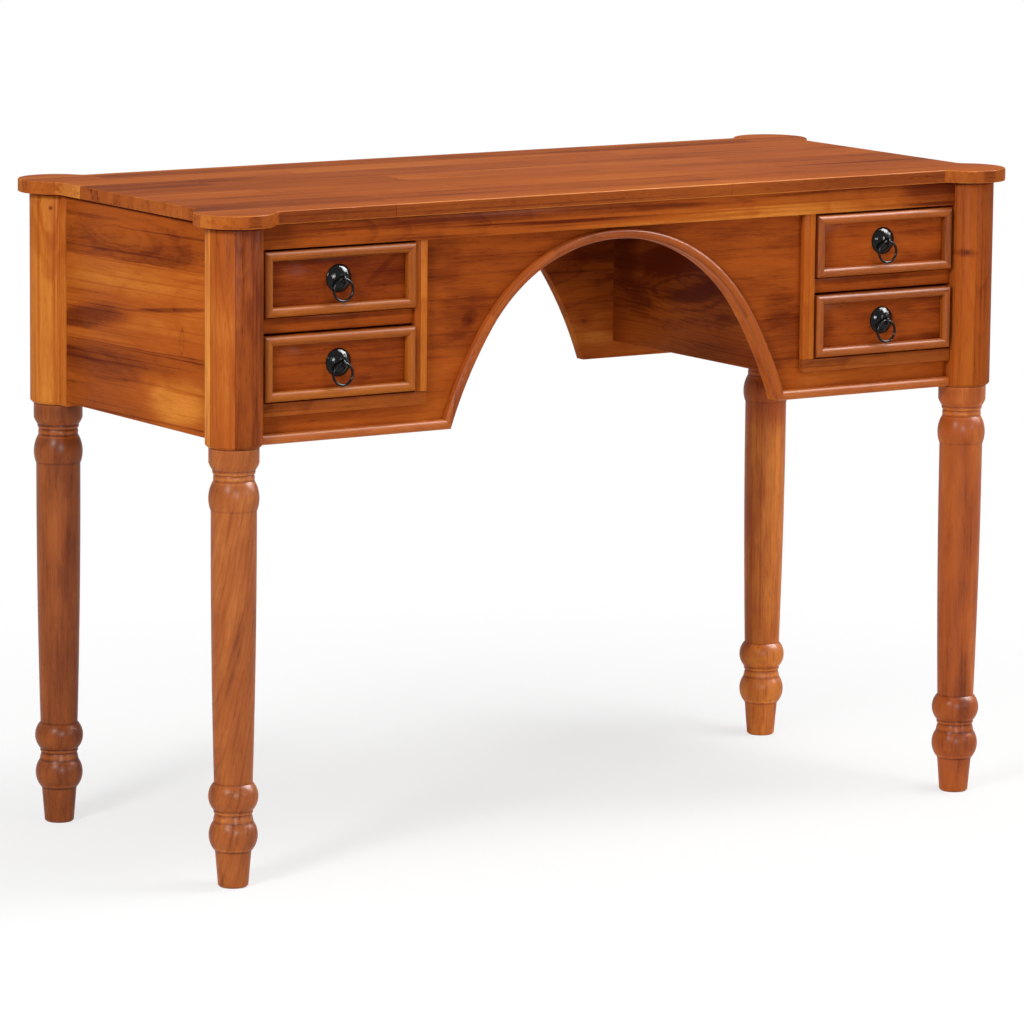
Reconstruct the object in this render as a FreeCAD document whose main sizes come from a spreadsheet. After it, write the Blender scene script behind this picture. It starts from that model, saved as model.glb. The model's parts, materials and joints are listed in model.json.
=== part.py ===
import FreeCAD, Part
import math
import os
import Sketcher
from collections import namedtuple
from types import SimpleNamespace

# Writing desk on four turned legs: two pedestals of two drawers stand either side of an arched
# knee-hole, between three-quarter round corner posts, under a top with a round ear at each corner.
# Millimetres. The origin is on the floor, midway between the legs. The front faces -Y and +Z is up.

SIZES = {
    # Whole desk
    "desk_height": 760,
    # Top, with its overhang from the legs' axes to its straight edges
    "top_thickness": 15,
    "top_width": 1058,
    "top_depth": 438,
    "top_overhang_x": 21,
    "top_overhang_y": 18,
    "ear_radius": 46,
    "ear_cove": 10,
    "top_edge_round": 1.5,
    # Corner posts, measured from the leg's axis
    "post_radius": 32.5,
    "post_face": 13.5,
    "post_wing": 42,
    "post_drawer_flat": 27.5,
    "post_chamfer": 3,
    # Turned legs, from the top down
    "leg_top_diameter": 57,
    "cup_straight": 17.5,
    "cup_height": 26,
    "cup_waist_diameter": 53.4,
    "cup_end_diameter": 48,
    "neck_ring_height": 5,
    "neck_ring_diameter": 48.2,
    "neck_diameter": 45,
    "neck_band_height": 6.5,
    "neck_band_diameter": 46.6,
    "collar_top_diameter": 45.8,
    "collar_height": 33,
    "collar_diameter": 56.7,
    "turned_step": 0.6,
    "shaft_top_diameter": 51.6,
    "shaft_middle_diameter": 49.8,
    "shaft_bottom_diameter": 43.6,
    "upper_knop_height": 31,
    "upper_knop_diameter": 56.4,
    "upper_knop_end_diameter": 44,
    "ankle_ring_height": 4.7,
    "ankle_ring_diameter": 44.4,
    "ankle_diameter": 41.5,
    "ankle_band_height": 8.3,
    "ankle_band_diameter": 44.2,
    "lower_knop_top_diameter": 45.5,
    "lower_knop_height": 33.2,
    "lower_knop_diameter": 55.2,
    "foot_height": 41.5,
    "foot_top_diameter": 41,
    "foot_bottom_diameter": 34.4,
    "foot_chamfer": 2,
    # Bolts between the legs and the posts
    "bolt_diameter": 8,
    "bolt_reach": 34,
    # Panels of the case
    "panel_thickness": 14,
    "panel_recess": 1.5,
    "end_panel_lift": 4.5,
    "front_panel_proud": 3,
    "knee_half_width": 272,
    "knee_panel_thickness": 15,
    "arch_margin": 44,
    # Strips and beads on the front panel
    "rail_height": 28,
    "rail_thickness": 11,
    "strip_thickness": 8,
    "stile_width": 16,
    "opening_margin": 6,
    "lower_rail_height": 15,
    "lower_rail_rise": 31.5,
    "divider_height": 17,
    "divider_proud": 3,
    "bead_width": 11.5,
    "bead_thickness": 9,
    "bead_round": 5,
    "bead_gap": 2.5,
    # Inside the pedestals
    "shelf_thickness": 12,
    "runner_height": 15,
    "runner_width": 22,
    "guide_height": 14,
    "runner_gap": 0.3,
    "kicker_width": 18,
    "kicker_gap": 1.5,
    # Drawers
    "drawer_front_height": 73.5,
    "drawer_gap_side": 1,
    "drawer_gap_outer": 3.5,
    "drawer_gap_below": 1.5,
    "drawer_gap_above": 2.5,
    "drawer_front_thickness": 14,
    "drawer_front_proud": 5,
    "moulding_width": 11,
    "moulding_height": 8.5,
    "moulding_round": 5,
    "moulding_kerf": 0.1,
    "drawer_box_inset": 10,
    "drawer_side_thickness": 10,
    "drawer_side_drop": 9.5,
    "drawer_back_gap": 49,
    "drawer_back_thickness": 10,
    "housing_depth": 5,
    "drawer_bottom_thickness": 5,
    "drawer_bottom_rise": 6,
    "groove_depth": 4,
    # Ring pulls
    "pull_rise": 2,
    "pull_diameter": 32,
    "pull_dome_height": 8,
    "pull_rim": 1.4,
    "pull_stud_diameter": 5,
    "pull_stud_end": 4,
    "eye_radius": 3.5,
    "eye_wire": 2.4,
    "eye_reach": 3,
    "ring_diameter": 28,
    "ring_wire": 3,
    # Clearances
    "joint_fit": 0.1,
    "cut_overrun": 5,
}

# How far out and how far up the arch its crown runs into its sides
SHARES = {
    "arch_shoulder_share": 0.7575,
    "arch_spring_share": 0.548,
}

SIDES = {"left": -1, "right": 1}
ENDS = {"front": -1, "back": 1}
NEAR = 1e-5
Link = namedtuple("Link", "curve start end")


class Size:
    """A size with its present value and the formula that ties it to the sheet."""

    def __init__(self, value, formula):
        self.value = value
        self.formula = formula

    def __add__(self, other):
        other = as_size(other)
        return Size(self.value + other.value, f"({self.formula} + {other.formula})")

    def __sub__(self, other):
        other = as_size(other)
        return Size(self.value - other.value, f"({self.formula} - {other.formula})")

    def __mul__(self, other):
        other = as_size(other)
        return Size(self.value * other.value, f"({self.formula} * {other.formula})")

    def __truediv__(self, other):
        other = as_size(other)
        return Size(self.value / other.value, f"({self.formula} / {other.formula})")

    def __neg__(self):
        return self * -1


def as_size(number):
    """A plain number as a size with a constant formula."""
    if isinstance(number, Size):
        return number
    return Size(float(number), f"({number})")


def root(size):
    """Square root of a size."""
    return Size(math.sqrt(size.value), f"sqrt({size.formula})")


def middle(one, other):
    """Halfway between two sizes."""
    return (one + other) / 2


def other_side(longest, side):
    """Third side of a right-angled triangle, from its longest side and one other."""
    return root(longest * longest - side * side)


def span(side, near, far):
    """Lower and upper end of a stretch on one side of the middle."""
    return sorted((near * side, far * side), key=lambda size: size.value)


doc = FreeCAD.newDocument("desk")
sheet = doc.addObject("Spreadsheet::Sheet", "sizes")
given = {**SIZES, **SHARES}
for row, (alias, length) in enumerate(given.items(), 1):
    sheet.set(f"A{row}", str(length))
    sheet.setAlias(f"A{row}", alias)
doc.recompute()
sizes = SimpleNamespace(**{alias: Size(float(length), f"sizes.{alias}") for alias, length in given.items()})
pieces = []
worked_out = []


def noted(alias, size):
    """Writes a worked-out size on the sheet, where other formulas find it by its name."""
    worked_out.append(alias)
    row = len(worked_out)
    sheet.set(f"B{row}", "=" + size.formula.replace("sizes.", ""))
    sheet.setAlias(f"B{row}", alias)
    doc.recompute()
    return Size(size.value, f"sizes.{alias}")


# Shared building steps

def bind(thing, path, size):
    """Ties one property of an object to the sheet."""
    thing.setExpression(path, as_size(size).formula)


def put(thing, place):
    """Ties the place of an object to the sheet."""
    for axis, size in zip("xyz", place):
        bind(thing, f"Placement.Base.{axis}", size)


def is_piece(thing, label):
    """Names an object as one finished piece of the desk."""
    thing.Label = label
    pieces.append(thing)
    return thing


def block(name, low, high):
    """Rectangular stock between two corners."""
    box = doc.addObject("Part::Box", name)
    for side, start, end in zip(("Length", "Width", "Height"), low, high):
        bind(box, side, as_size(end) - start)
    put(box, low)
    return box


def group(label, members):
    """Several like pieces that share one node."""
    compound = doc.addObject("Part::Compound", label)
    compound.Links = members
    return is_piece(compound, label)


def new_body(name, place=(0, 0, 0)):
    """An empty body at its place."""
    body = doc.addObject("PartDesign::Body", name)
    put(body, place)
    return body


def new_sketch(body, plane, name):
    """A sketch on one of the body's own origin planes."""
    sketch = body.newObject("Sketcher::SketchObject", f"{body.Name}_{name}")
    origin = next(feature for feature in body.Origin.OriginFeatures if feature.Role == plane)
    sketch.AttachmentSupport = [(origin, "")]
    sketch.MapMode = "FlatFace"
    return sketch


def vector(point):
    """Present position of a sketch point."""
    return FreeCAD.Vector(as_size(point[0]).value, as_size(point[1]).value, 0)


def end_at(sketch, curve, point):
    """Which end of a curve lies at a point."""
    return min((1, 2), key=lambda end: (sketch.getPoint(curve, end) - vector(point)).Length)


def tie_point(sketch, curve, end, point):
    """Ties a point of a curve to the sheet by its distances from the origin, None leaving one free."""
    axes = {"DistanceX": -2, "DistanceY": -1}
    for (kind, axis), size in zip(axes.items(), point):
        if size is None:
            continue
        if isinstance(size, int) and size == 0:
            sketch.addConstraint(Sketcher.Constraint("PointOnObject", curve, end, axis))
            continue
        index = sketch.addConstraint(Sketcher.Constraint(kind, -1, 1, curve, end, size.value))
        bind(sketch, f"Constraints[{index}]", size)


def tie_radius(sketch, curve, radius):
    """Ties the radius of a circle or an arc to the sheet."""
    index = sketch.addConstraint(Sketcher.Constraint("Radius", curve, radius.value))
    bind(sketch, f"Constraints[{index}]", radius)


def add_line(sketch, start, end):
    """Straight link of an outline."""
    return Link(sketch.addGeometry(Part.LineSegment(vector(start), vector(end))), start, end)


def add_arc(sketch, start, passed, end):
    """Round link of an outline, through a point that it passes."""
    return Link(sketch.addGeometry(Part.Arc(vector(start), vector(passed), vector(end))), start, end)


def join(sketch, before, after, kind="Coincident"):
    """Joins the end of one link to the start of the next."""
    ends = end_at(sketch, before.curve, before.end), end_at(sketch, after.curve, after.start)
    sketch.addConstraint(Sketcher.Constraint(kind, before.curve, ends[0], after.curve, ends[1]))


def outline(sketch, start, *steps):
    """Closed outline: a step is one point for a line, or a point to pass and an end point for an arc."""
    chain = []
    here = start
    for step in steps + ((start,),):
        if len(step) == 1:
            link = add_line(sketch, here, step[0])
        else:
            passed = sketch.addGeometry(Part.Point(vector(step[0])))
            link = add_arc(sketch, here, *step)
            tie_point(sketch, passed, 1, step[0])
            sketch.addConstraint(Sketcher.Constraint("PointOnObject", passed, 1, link.curve))
        chain.append(link)
        here = link.end
    for before, after in zip(chain, chain[1:] + chain[:1]):
        join(sketch, before, after)
    for link in chain:
        tie_point(sketch, link.curve, end_at(sketch, link.curve, link.start), link.start)


def polygon(sketch, corners):
    """Closed outline of straight lines."""
    outline(sketch, corners[0], *((corner,) for corner in corners[1:]))


def rectangle(sketch, low, high):
    """Rectangular outline between two corners."""
    polygon(sketch, [low, (high[0], low[1]), high, (low[0], high[1])])


def circle(sketch, centre, radius):
    """Round outline with its centre and radius tied to the sheet."""
    curve = sketch.addGeometry(Part.Circle(vector(centre), FreeCAD.Vector(0, 0, 1), radius.value))
    tie_point(sketch, curve, 3, centre)
    tie_radius(sketch, curve, radius)


def pad(body, sketch, length):
    """Solid stock raised from an outline."""
    feature = body.newObject("PartDesign::Pad", f"{sketch.Name}_pad")
    feature.Profile = sketch
    bind(feature, "Length", length)
    doc.recompute()
    return feature


def turn(body, profile):
    """Round stock turned from an outline about the profile's upright axis."""
    feature = body.newObject("PartDesign::Revolution", f"{profile.Name}_turning")
    feature.Profile = profile
    feature.ReferenceAxis = (profile, ["V_Axis"])
    doc.recompute()
    return feature


def pocket(body, sketch, depth):
    """Cut from an outline on the same side of its plane as the stock."""
    volume = body.Shape.Volume
    feature = body.newObject("PartDesign::Pocket", f"{sketch.Name}_pocket")
    feature.Profile = sketch
    feature.Reversed = True
    bind(feature, "Length", depth)
    doc.recompute()
    assert body.Shape.Volume < volume - NEAR, f"{feature.Name} cuts nothing"
    return feature


def cut_through(body, sketch):
    """Cut that runs right through the stock on both sides of the outline's plane."""
    volume = body.Shape.Volume
    feature = body.newObject("PartDesign::Pocket", f"{sketch.Name}_cut")
    feature.Profile = sketch
    feature.Type = "ThroughAll"
    feature.Midplane = True
    doc.recompute()
    assert body.Shape.Volume < volume - NEAR, f"{feature.Name} cuts nothing"
    return feature


def soften(body, kind, size, test):
    """Rounds or chamfers the edges of the body's last feature that pass a test."""
    base = body.Tip
    edges = [f"Edge{number}" for number, edge in enumerate(base.Shape.Edges, 1) if test(edge)]
    feature = body.newObject(f"PartDesign::{kind}", f"{base.Name}_{kind.lower()}")
    feature.Base = (base, edges)
    bind(feature, "Radius" if kind == "Fillet" else "Size", size)
    doc.recompute()
    return feature


def lies_at(edge, axis, level):
    """Whether an edge lies in the plane at a level of one axis."""
    box = edge.BoundBox
    low, high = {"x": (box.XMin, box.XMax), "y": (box.YMin, box.YMax), "z": (box.ZMin, box.ZMax)}[axis]
    return abs(low - level.value) < NEAR and abs(high - level.value) < NEAR


# Levels and places that several pieces share

leg_x = noted("leg_x", sizes.top_width / 2 - sizes.top_overhang_x)
leg_y = noted("leg_y", sizes.top_depth / 2 - sizes.top_overhang_y)
bay_height = noted("bay_height", sizes.drawer_front_height + sizes.drawer_gap_below + sizes.drawer_gap_above)
case_top = noted("case_top", sizes.desk_height - sizes.top_thickness)
opening_top = noted("opening_top", case_top - sizes.rail_height)
opening_bottom = noted("opening_bottom", opening_top - bay_height * 2 - sizes.divider_height)
case_bottom = noted("leg_height", opening_bottom - sizes.lower_rail_height - sizes.lower_rail_rise)
end_face = leg_x + sizes.post_face - sizes.panel_recess
end_back = end_face - sizes.panel_thickness
rear_face = leg_y + sizes.post_face - sizes.panel_recess
rear_back = rear_face - sizes.panel_thickness
front_face = -(leg_y + sizes.front_panel_proud)
front_back = front_face + sizes.panel_thickness
strip_face = front_face - sizes.strip_thickness
opening_outer = leg_x - sizes.post_drawer_flat
opening_inner = sizes.knee_half_width + sizes.opening_margin
bay_bottoms = {"lower": opening_bottom, "upper": opening_bottom + bay_height + sizes.divider_height}
knee_inside = sizes.knee_half_width + sizes.knee_panel_thickness
runner_tops = {bay: level + sizes.drawer_gap_below - sizes.runner_gap for bay, level in bay_bottoms.items()}
shelf_top = runner_tops["lower"] - sizes.runner_height
shelf_bottom = shelf_top - sizes.shelf_thickness
wing_y = leg_y - sizes.post_wing

front_width = opening_outer - opening_inner - sizes.drawer_gap_side - sizes.drawer_gap_outer
front_height = sizes.drawer_front_height
side_height = front_height - sizes.drawer_side_drop
drawer_x = opening_inner + sizes.drawer_gap_side + front_width / 2
field_face = front_face - sizes.drawer_front_proud
field_back = field_face + sizes.drawer_front_thickness
box_half = front_width / 2 - sizes.drawer_box_inset
box_inside = box_half - sizes.drawer_side_thickness
side_start = field_back - sizes.housing_depth
side_end = rear_back - sizes.drawer_back_gap
bolt_hole = sizes.bolt_diameter / 2 + sizes.joint_fit


# The top

def make_top():
    """Board with a round ear over each leg, coved into the straight edges and eased all round."""
    body = new_body("top_board", (0, 0, case_top))
    board = new_sketch(body, "XY_Plane", "board")
    half_x = sizes.top_width / 2
    half_y = sizes.top_depth / 2
    rectangle(board, (-half_x, -half_y), (half_x, half_y))
    pad(body, board, sizes.top_thickness)
    ears = new_sketch(body, "XY_Plane", "ears")
    for side in SIDES.values():
        for end in ENDS.values():
            circle(ears, (leg_x * side, leg_y * end), sizes.ear_radius)
    pad(body, ears, sizes.top_thickness)

    reach_x = leg_x - other_side(sizes.ear_radius, half_y - leg_y)
    reach_y = leg_y - other_side(sizes.ear_radius, half_x - leg_x)
    corners = vector((reach_x, half_y)), vector((half_x, reach_y))

    def is_inside_corner(edge):
        box = edge.BoundBox
        if box.XLength > NEAR or box.YLength > NEAR:
            return False
        spot = FreeCAD.Vector(abs(box.XMin), abs(box.YMin), 0)
        return any((spot - corner).Length < NEAR for corner in corners)

    soften(body, "Fillet", sizes.ear_cove, is_inside_corner)
    levels = as_size(0), sizes.top_thickness
    soften(body, "Fillet", sizes.top_edge_round, lambda edge: any(lies_at(edge, "z", z) for z in levels))
    is_piece(body, "desk_top")


# Corner posts

def make_post(end_name, side_name):
    """Three-quarter column with flat wings that take the panels, bored from below for the leg's bolt."""
    side, end = SIDES[side_name], ENDS[end_name]
    body = new_body(f"{end_name}_{side_name}_post_body", (leg_x * side, leg_y * end, case_bottom))
    section = new_sketch(body, "XY_Plane", "section")
    across = other_side(sizes.post_radius, sizes.post_face)
    crown = sizes.post_radius / math.sqrt(2)
    low = sizes.post_face, -across
    if end_name == "front":
        flat = sizes.post_drawer_flat
        high = -flat, other_side(sizes.post_radius, flat)
        corners = [(-flat, -sizes.post_wing)]
    else:
        high = -across, sizes.post_face
        corners = [(-sizes.post_wing, sizes.post_face), (-sizes.post_wing, -sizes.post_wing)]
    corners.append((sizes.post_face, -sizes.post_wing))

    def turned(point):
        return point[0] * side, point[1] * end

    steps = [(turned((crown, crown)), turned(high))]
    steps += [(turned(corner),) for corner in corners]
    outline(section, turned(low), *steps)
    pad(body, section, case_top - case_bottom)
    soften(body, "Chamfer", sizes.post_chamfer,
           lambda edge: lies_at(edge, "z", as_size(0)) and edge.Curve.TypeId == "Part::GeomCircle")
    hole = new_sketch(body, "XY_Plane", "bolt_hole")
    circle(hole, (0, 0), bolt_hole)
    pocket(body, hole, sizes.bolt_reach + sizes.joint_fit)
    is_piece(body, f"{end_name}_{side_name}_post")


# Turned legs

def make_leg(end_name, side_name):
    """Leg turned from one blank: cup, ringed neck, collar, tapering shaft, two knops and a foot."""
    place = leg_x * SIDES[side_name], leg_y * ENDS[end_name], 0
    body = new_body(f"{end_name}_{side_name}_leg_body", place)
    profile = new_sketch(body, "XZ_Plane", "profile")
    top = case_bottom
    cup_start = top - sizes.cup_straight
    cup_end = top - sizes.cup_height
    neck = cup_end - sizes.neck_ring_height
    collar_top = neck - sizes.neck_band_height
    shaft_top = collar_top - sizes.collar_height
    lower_top = sizes.foot_height + sizes.lower_knop_height
    ankle = lower_top + sizes.ankle_band_height
    upper_end = ankle + sizes.ankle_ring_height
    shaft_bottom = upper_end + sizes.upper_knop_height
    bore_end = top - sizes.bolt_reach - sizes.joint_fit

    def at(diameter, level):
        return diameter / 2, level

    def swell(diameter, above, below):
        return at(diameter, middle(above, below))

    def stepped(diameter, level):
        return at(diameter + sizes.turned_step * 2, level)

    outline(
        profile,
        (0, bore_end),
        ((bolt_hole, bore_end),),
        ((bolt_hole, top),),
        (at(sizes.leg_top_diameter, top),),
        (at(sizes.leg_top_diameter, cup_start),),
        (swell(sizes.cup_waist_diameter, cup_start, cup_end), at(sizes.cup_end_diameter, cup_end)),
        (swell(sizes.neck_ring_diameter, cup_end, neck), at(sizes.neck_diameter, neck)),
        (swell(sizes.neck_band_diameter, neck, collar_top), at(sizes.collar_top_diameter, collar_top)),
        (swell(sizes.collar_diameter, collar_top, shaft_top), stepped(sizes.shaft_top_diameter, shaft_top)),
        (at(sizes.shaft_top_diameter, shaft_top),),
        (swell(sizes.shaft_middle_diameter, shaft_top, shaft_bottom),
         at(sizes.shaft_bottom_diameter, shaft_bottom)),
        (stepped(sizes.shaft_bottom_diameter, shaft_bottom),),
        (swell(sizes.upper_knop_diameter, shaft_bottom, upper_end),
         at(sizes.upper_knop_end_diameter, upper_end)),
        (swell(sizes.ankle_ring_diameter, upper_end, ankle), at(sizes.ankle_diameter, ankle)),
        (swell(sizes.ankle_band_diameter, ankle, lower_top), at(sizes.lower_knop_top_diameter, lower_top)),
        (swell(sizes.lower_knop_diameter, lower_top, sizes.foot_height),
         stepped(sizes.foot_top_diameter, sizes.foot_height)),
        (at(sizes.foot_top_diameter, sizes.foot_height),),
        (at(sizes.foot_bottom_diameter, sizes.foot_chamfer),),
        ((sizes.foot_bottom_diameter / 2 - sizes.foot_chamfer, 0),),
        ((0, 0),),
    )
    turn(body, profile)
    is_piece(body, f"{end_name}_{side_name}_leg")


def make_bolts():
    """One plain bolt through each joint between a leg and its post."""
    bolts = []
    for side in SIDES.values():
        for end in ENDS.values():
            bolt = doc.addObject("Part::Cylinder", "leg_bolt")
            bind(bolt, "Radius", sizes.bolt_diameter / 2)
            bind(bolt, "Height", sizes.bolt_reach * 2)
            put(bolt, (leg_x * side, leg_y * end, case_bottom - sizes.bolt_reach))
            bolts.append(bolt)
    group("leg_bolts", bolts)


# Panels of the case

Arch = namedtuple("Arch", "centre radius shoulder spring foot rise bend hub_x hub_z")


def plan_arch():
    """Sizes of a three-centred arch: a crown arc, and a side arc that runs smoothly from it to the foot."""
    foot = noted("arch_foot", sizes.knee_half_width - sizes.arch_margin)
    apex = noted("arch_apex", opening_top - sizes.bead_gap - sizes.bead_width)
    shoulder = noted("arch_shoulder", foot * sizes.arch_shoulder_share)
    spring = noted("arch_spring", case_bottom + (apex - case_bottom) * sizes.arch_spring_share)
    crown_rise = apex - spring
    radius = noted("arch_radius", (shoulder * shoulder + crown_rise * crown_rise) / crown_rise / 2)
    centre = apex - radius
    across = foot - shoulder
    down = case_bottom - spring
    turn_x = -shoulder / radius
    turn_z = (centre - spring) / radius
    bend = noted("arch_bend", (across * across + down * down) / (across * turn_x + down * turn_z) / 2)
    hub_x = noted("arch_hub_x", shoulder + bend * turn_x)
    hub_z = noted("arch_hub_z", spring + bend * turn_z)
    return Arch(centre, radius, shoulder, spring, foot, case_bottom, bend, hub_x, hub_z)


def arch_outside(arch, width, rise):
    """The arch a width outside another, down to a foot at its own level."""
    radius = arch.radius + width
    bend = arch.bend + width
    shoulder = arch.shoulder * radius / arch.radius
    spring = arch.centre + (arch.spring - arch.centre) * radius / arch.radius
    foot = arch.hub_x + other_side(bend, rise - arch.hub_z)
    return Arch(arch.centre, radius, shoulder, spring, foot, rise, bend, arch.hub_x, arch.hub_z)


def add_arch(sketch, arch):
    """Draws an arch and returns its three links, from the left foot over the crown to the right foot."""
    left, right = (-arch.shoulder, arch.spring), (arch.shoulder, arch.spring)
    crown = add_arc(sketch, left, (0, arch.centre + arch.radius), right)
    tie_point(sketch, crown.curve, 3, (0, arch.centre))
    tie_radius(sketch, crown.curve, arch.radius)
    half_x = middle(arch.foot, arch.shoulder) - arch.hub_x
    half_z = middle(arch.rise, arch.spring) - arch.hub_z
    stretch = arch.bend / root(half_x * half_x + half_z * half_z)
    links = []
    for side, shoulder in zip(SIDES.values(), (left, right)):
        foot = arch.foot * side, arch.rise
        passed = (arch.hub_x + half_x * stretch) * side, arch.hub_z + half_z * stretch
        link = add_arc(sketch, foot, passed, shoulder)
        tie_point(sketch, link.curve, end_at(sketch, link.curve, foot), foot)
        tie_point(sketch, link.curve, end_at(sketch, link.curve, shoulder), (shoulder[0], None))
        links.append(link)
    rise, fall = links[0], Link(links[1].curve, links[1].end, links[1].start)
    join(sketch, rise, crown, "Tangent")
    join(sketch, crown, fall, "Tangent")
    return [rise, crown, fall]


knee_arch = plan_arch()


def make_arched_panel(label, half_width, back):
    """Upright panel, arched over the knee-hole, between the posts."""
    body = new_body(f"{label}_body", (0, back, 0))
    face = new_sketch(body, "XZ_Plane", "face")
    arch = add_arch(face, knee_arch)
    corners = [(half_width, case_bottom), (half_width, case_top), (-half_width, case_top),
               (-half_width, case_bottom)]
    stops = [arch[-1].end, *corners, arch[0].start]
    lines = [add_line(face, here, there) for here, there in zip(stops, stops[1:])]
    links = [arch[-1], *lines, arch[0]]
    for before, after in zip(links, links[1:]):
        join(face, before, after)
    for line in lines[1:]:
        tie_point(face, line.curve, end_at(face, line.curve, line.start), line.start)
    pad(body, face, sizes.panel_thickness)
    return is_piece(body, label)


def make_front_panel():
    """Arched front with an open bay for the drawers of each pedestal, which the post closes outside."""
    body = make_arched_panel("front_panel", opening_outer, front_back)
    bays = new_sketch(body, "XZ_Plane", "bays")
    for side in SIDES.values():
        ends = span(side, opening_inner, opening_outer + sizes.cut_overrun)
        rectangle(bays, (ends[0], opening_bottom), (ends[1], opening_top))
    cut_through(body, bays)


def make_side_panels(side_name):
    """Outer end panel between the posts' wings, and the knee-hole side of the pedestal."""
    side = SIDES[side_name]
    for label, near, far, low_y, high_y, low_z in (
            ("end_panel", end_back, end_face, -wing_y, wing_y, case_bottom + sizes.end_panel_lift),
            ("knee_panel", sizes.knee_half_width, knee_inside, front_back, rear_back, shelf_bottom)):
        ends = span(side, near, far)
        panel = block(f"{label}_{side_name}", (ends[0], low_y, low_z), (ends[1], high_y, case_top))
        is_piece(panel, f"{side_name}_{label}")


def make_shelf(side_name):
    """Bottom board of a pedestal, notched round the wings of its two posts."""
    side = SIDES[side_name]
    body = new_body(f"{side_name}_shelf", (0, 0, shelf_bottom))
    plan = new_sketch(body, "XY_Plane", "plan")
    back_notch = leg_x - sizes.post_wing
    corners = [
        (knee_inside, front_back), (opening_outer, front_back), (opening_outer, -wing_y),
        (end_back, -wing_y), (end_back, wing_y),
        (back_notch, wing_y), (back_notch, rear_back), (knee_inside, rear_back),
    ]
    polygon(plan, [(x * side, y) for x, y in corners])
    pad(body, plan, sizes.shelf_thickness)
    is_piece(body, f"{side_name}_pedestal_bottom")


# Strips and beads on the front

def strip(name, side, near, far, front, low, high):
    """Upright or level strip fixed on the face of the front panel."""
    ends = span(side, near, far)
    return block(name, (ends[0], front, low), (ends[1], front_face, high))


def make_strips():
    """Top rail across the whole front, and the stile and lower rail beside each pair of drawers."""
    rail = block("rail", (-opening_outer, front_face - sizes.rail_thickness, opening_top),
                 (opening_outer, front_face, case_top))
    is_piece(rail, "top_rail")
    stile_edge = opening_inner - sizes.stile_width
    rail_low = case_bottom + sizes.lower_rail_rise
    for side_name, side in SIDES.items():
        stile = strip(f"{side_name}_stile_strip", side, stile_edge, opening_inner, strip_face,
                      opening_bottom, opening_top)
        is_piece(stile, f"{side_name}_stile")
        lower = strip(f"{side_name}_lower_strip", side, stile_edge, opening_outer, strip_face,
                      rail_low, opening_bottom)
        is_piece(lower, f"{side_name}_lower_rail")


def make_divider(side_name):
    """Rail between the two drawers, set back from the strips and let in between panel and post."""
    side = SIDES[side_name]
    ends = span(side, opening_inner, opening_outer)
    low = opening_bottom + bay_height
    divider = block(f"{side_name}_divider", (ends[0], front_face - sizes.divider_proud, low),
                    (ends[1], front_back, low + sizes.divider_height))
    is_piece(divider, f"{side_name}_drawer_divider")


def round_front(body):
    """Rounds the long front edges of a bead and leaves its mitres sharp."""
    front = -sizes.bead_thickness
    least = sizes.bead_width.value * 2
    soften(body, "Fillet", sizes.bead_round, lambda edge: lies_at(edge, "y", front) and edge.Length > least)


def make_beads():
    """Rounded bead that follows the arch, and one along the bottom of each pedestal, mitred together."""
    bead_top = case_bottom + sizes.bead_width
    outer_arch = arch_outside(knee_arch, sizes.bead_width, bead_top)
    body = new_body("arch_bead_body", (0, front_face, 0))
    face = new_sketch(body, "XZ_Plane", "face")
    inner = add_arch(face, knee_arch)
    outer = add_arch(face, outer_arch)
    back_again = [Link(link.curve, link.end, link.start) for link in reversed(outer)]
    for before, after in ((inner[-1], back_again[0]), (back_again[-1], inner[0])):
        mitre = add_line(face, before.end, after.start)
        join(face, before, mitre)
        join(face, mitre, after)
    pad(body, face, sizes.bead_thickness)
    round_front(body)
    is_piece(body, "arch_bead")
    for side_name, side in SIDES.items():
        body = new_body(f"{side_name}_bead_body", (0, front_face, 0))
        face = new_sketch(body, "XZ_Plane", "face")
        corners = [(knee_arch.foot, case_bottom), (opening_outer, case_bottom), (opening_outer, bead_top),
                   (outer_arch.foot, bead_top)]
        polygon(face, [(x * side, z) for x, z in corners])
        pad(body, face, sizes.bead_thickness)
        round_front(body)
        is_piece(body, f"{side_name}_bottom_bead")


# Runners and kickers inside the pedestals

def make_runners(side_name):
    """Runners under both sides of each drawer; the outer one is rebated to guide the drawer's side."""
    side = SIDES[side_name]
    side_face = drawer_x + box_half
    guide = side_face + sizes.drawer_gap_side
    runners = []
    for bay, top in runner_tops.items():
        low = top - sizes.runner_height
        ends = span(side, knee_inside, knee_inside + sizes.runner_width)
        runners.append(block(f"{bay}_{side_name}_inner_runner", (ends[0], front_back, low),
                             (ends[1], wing_y, top)))
        body = new_body(f"{bay}_{side_name}_outer_runner", (0, front_back, 0))
        section = new_sketch(body, "XZ_Plane", "section")
        inner_edge = side_face - sizes.runner_width
        guide_top = top + sizes.guide_height
        corners = [(inner_edge, low), (opening_outer, low), (opening_outer, guide_top), (guide, guide_top),
                   (guide, top), (inner_edge, top)]
        polygon(section, [(x * side, z) for x, z in corners])
        run = pad(body, section, wing_y - front_back)
        run.Reversed = True
        doc.recompute()
        runners.append(body)
    group(f"{side_name}_drawer_runners", runners)


def make_kickers():
    """Battens under the top that keep the upper drawers from tipping as they are drawn out."""
    low = bay_bottoms["upper"] + sizes.drawer_gap_below + side_height + sizes.kicker_gap
    kickers = []
    for side_name, side in SIDES.items():
        for near in (knee_inside, drawer_x + box_half - sizes.kicker_width):
            ends = span(side, near, near + sizes.kicker_width)
            kicker = block(f"{side_name}_kicker", (ends[0], front_back, low), (ends[1], wing_y, case_top))
            kickers.append(kicker)
    group("drawer_kickers", kickers)


# Drawers

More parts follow.
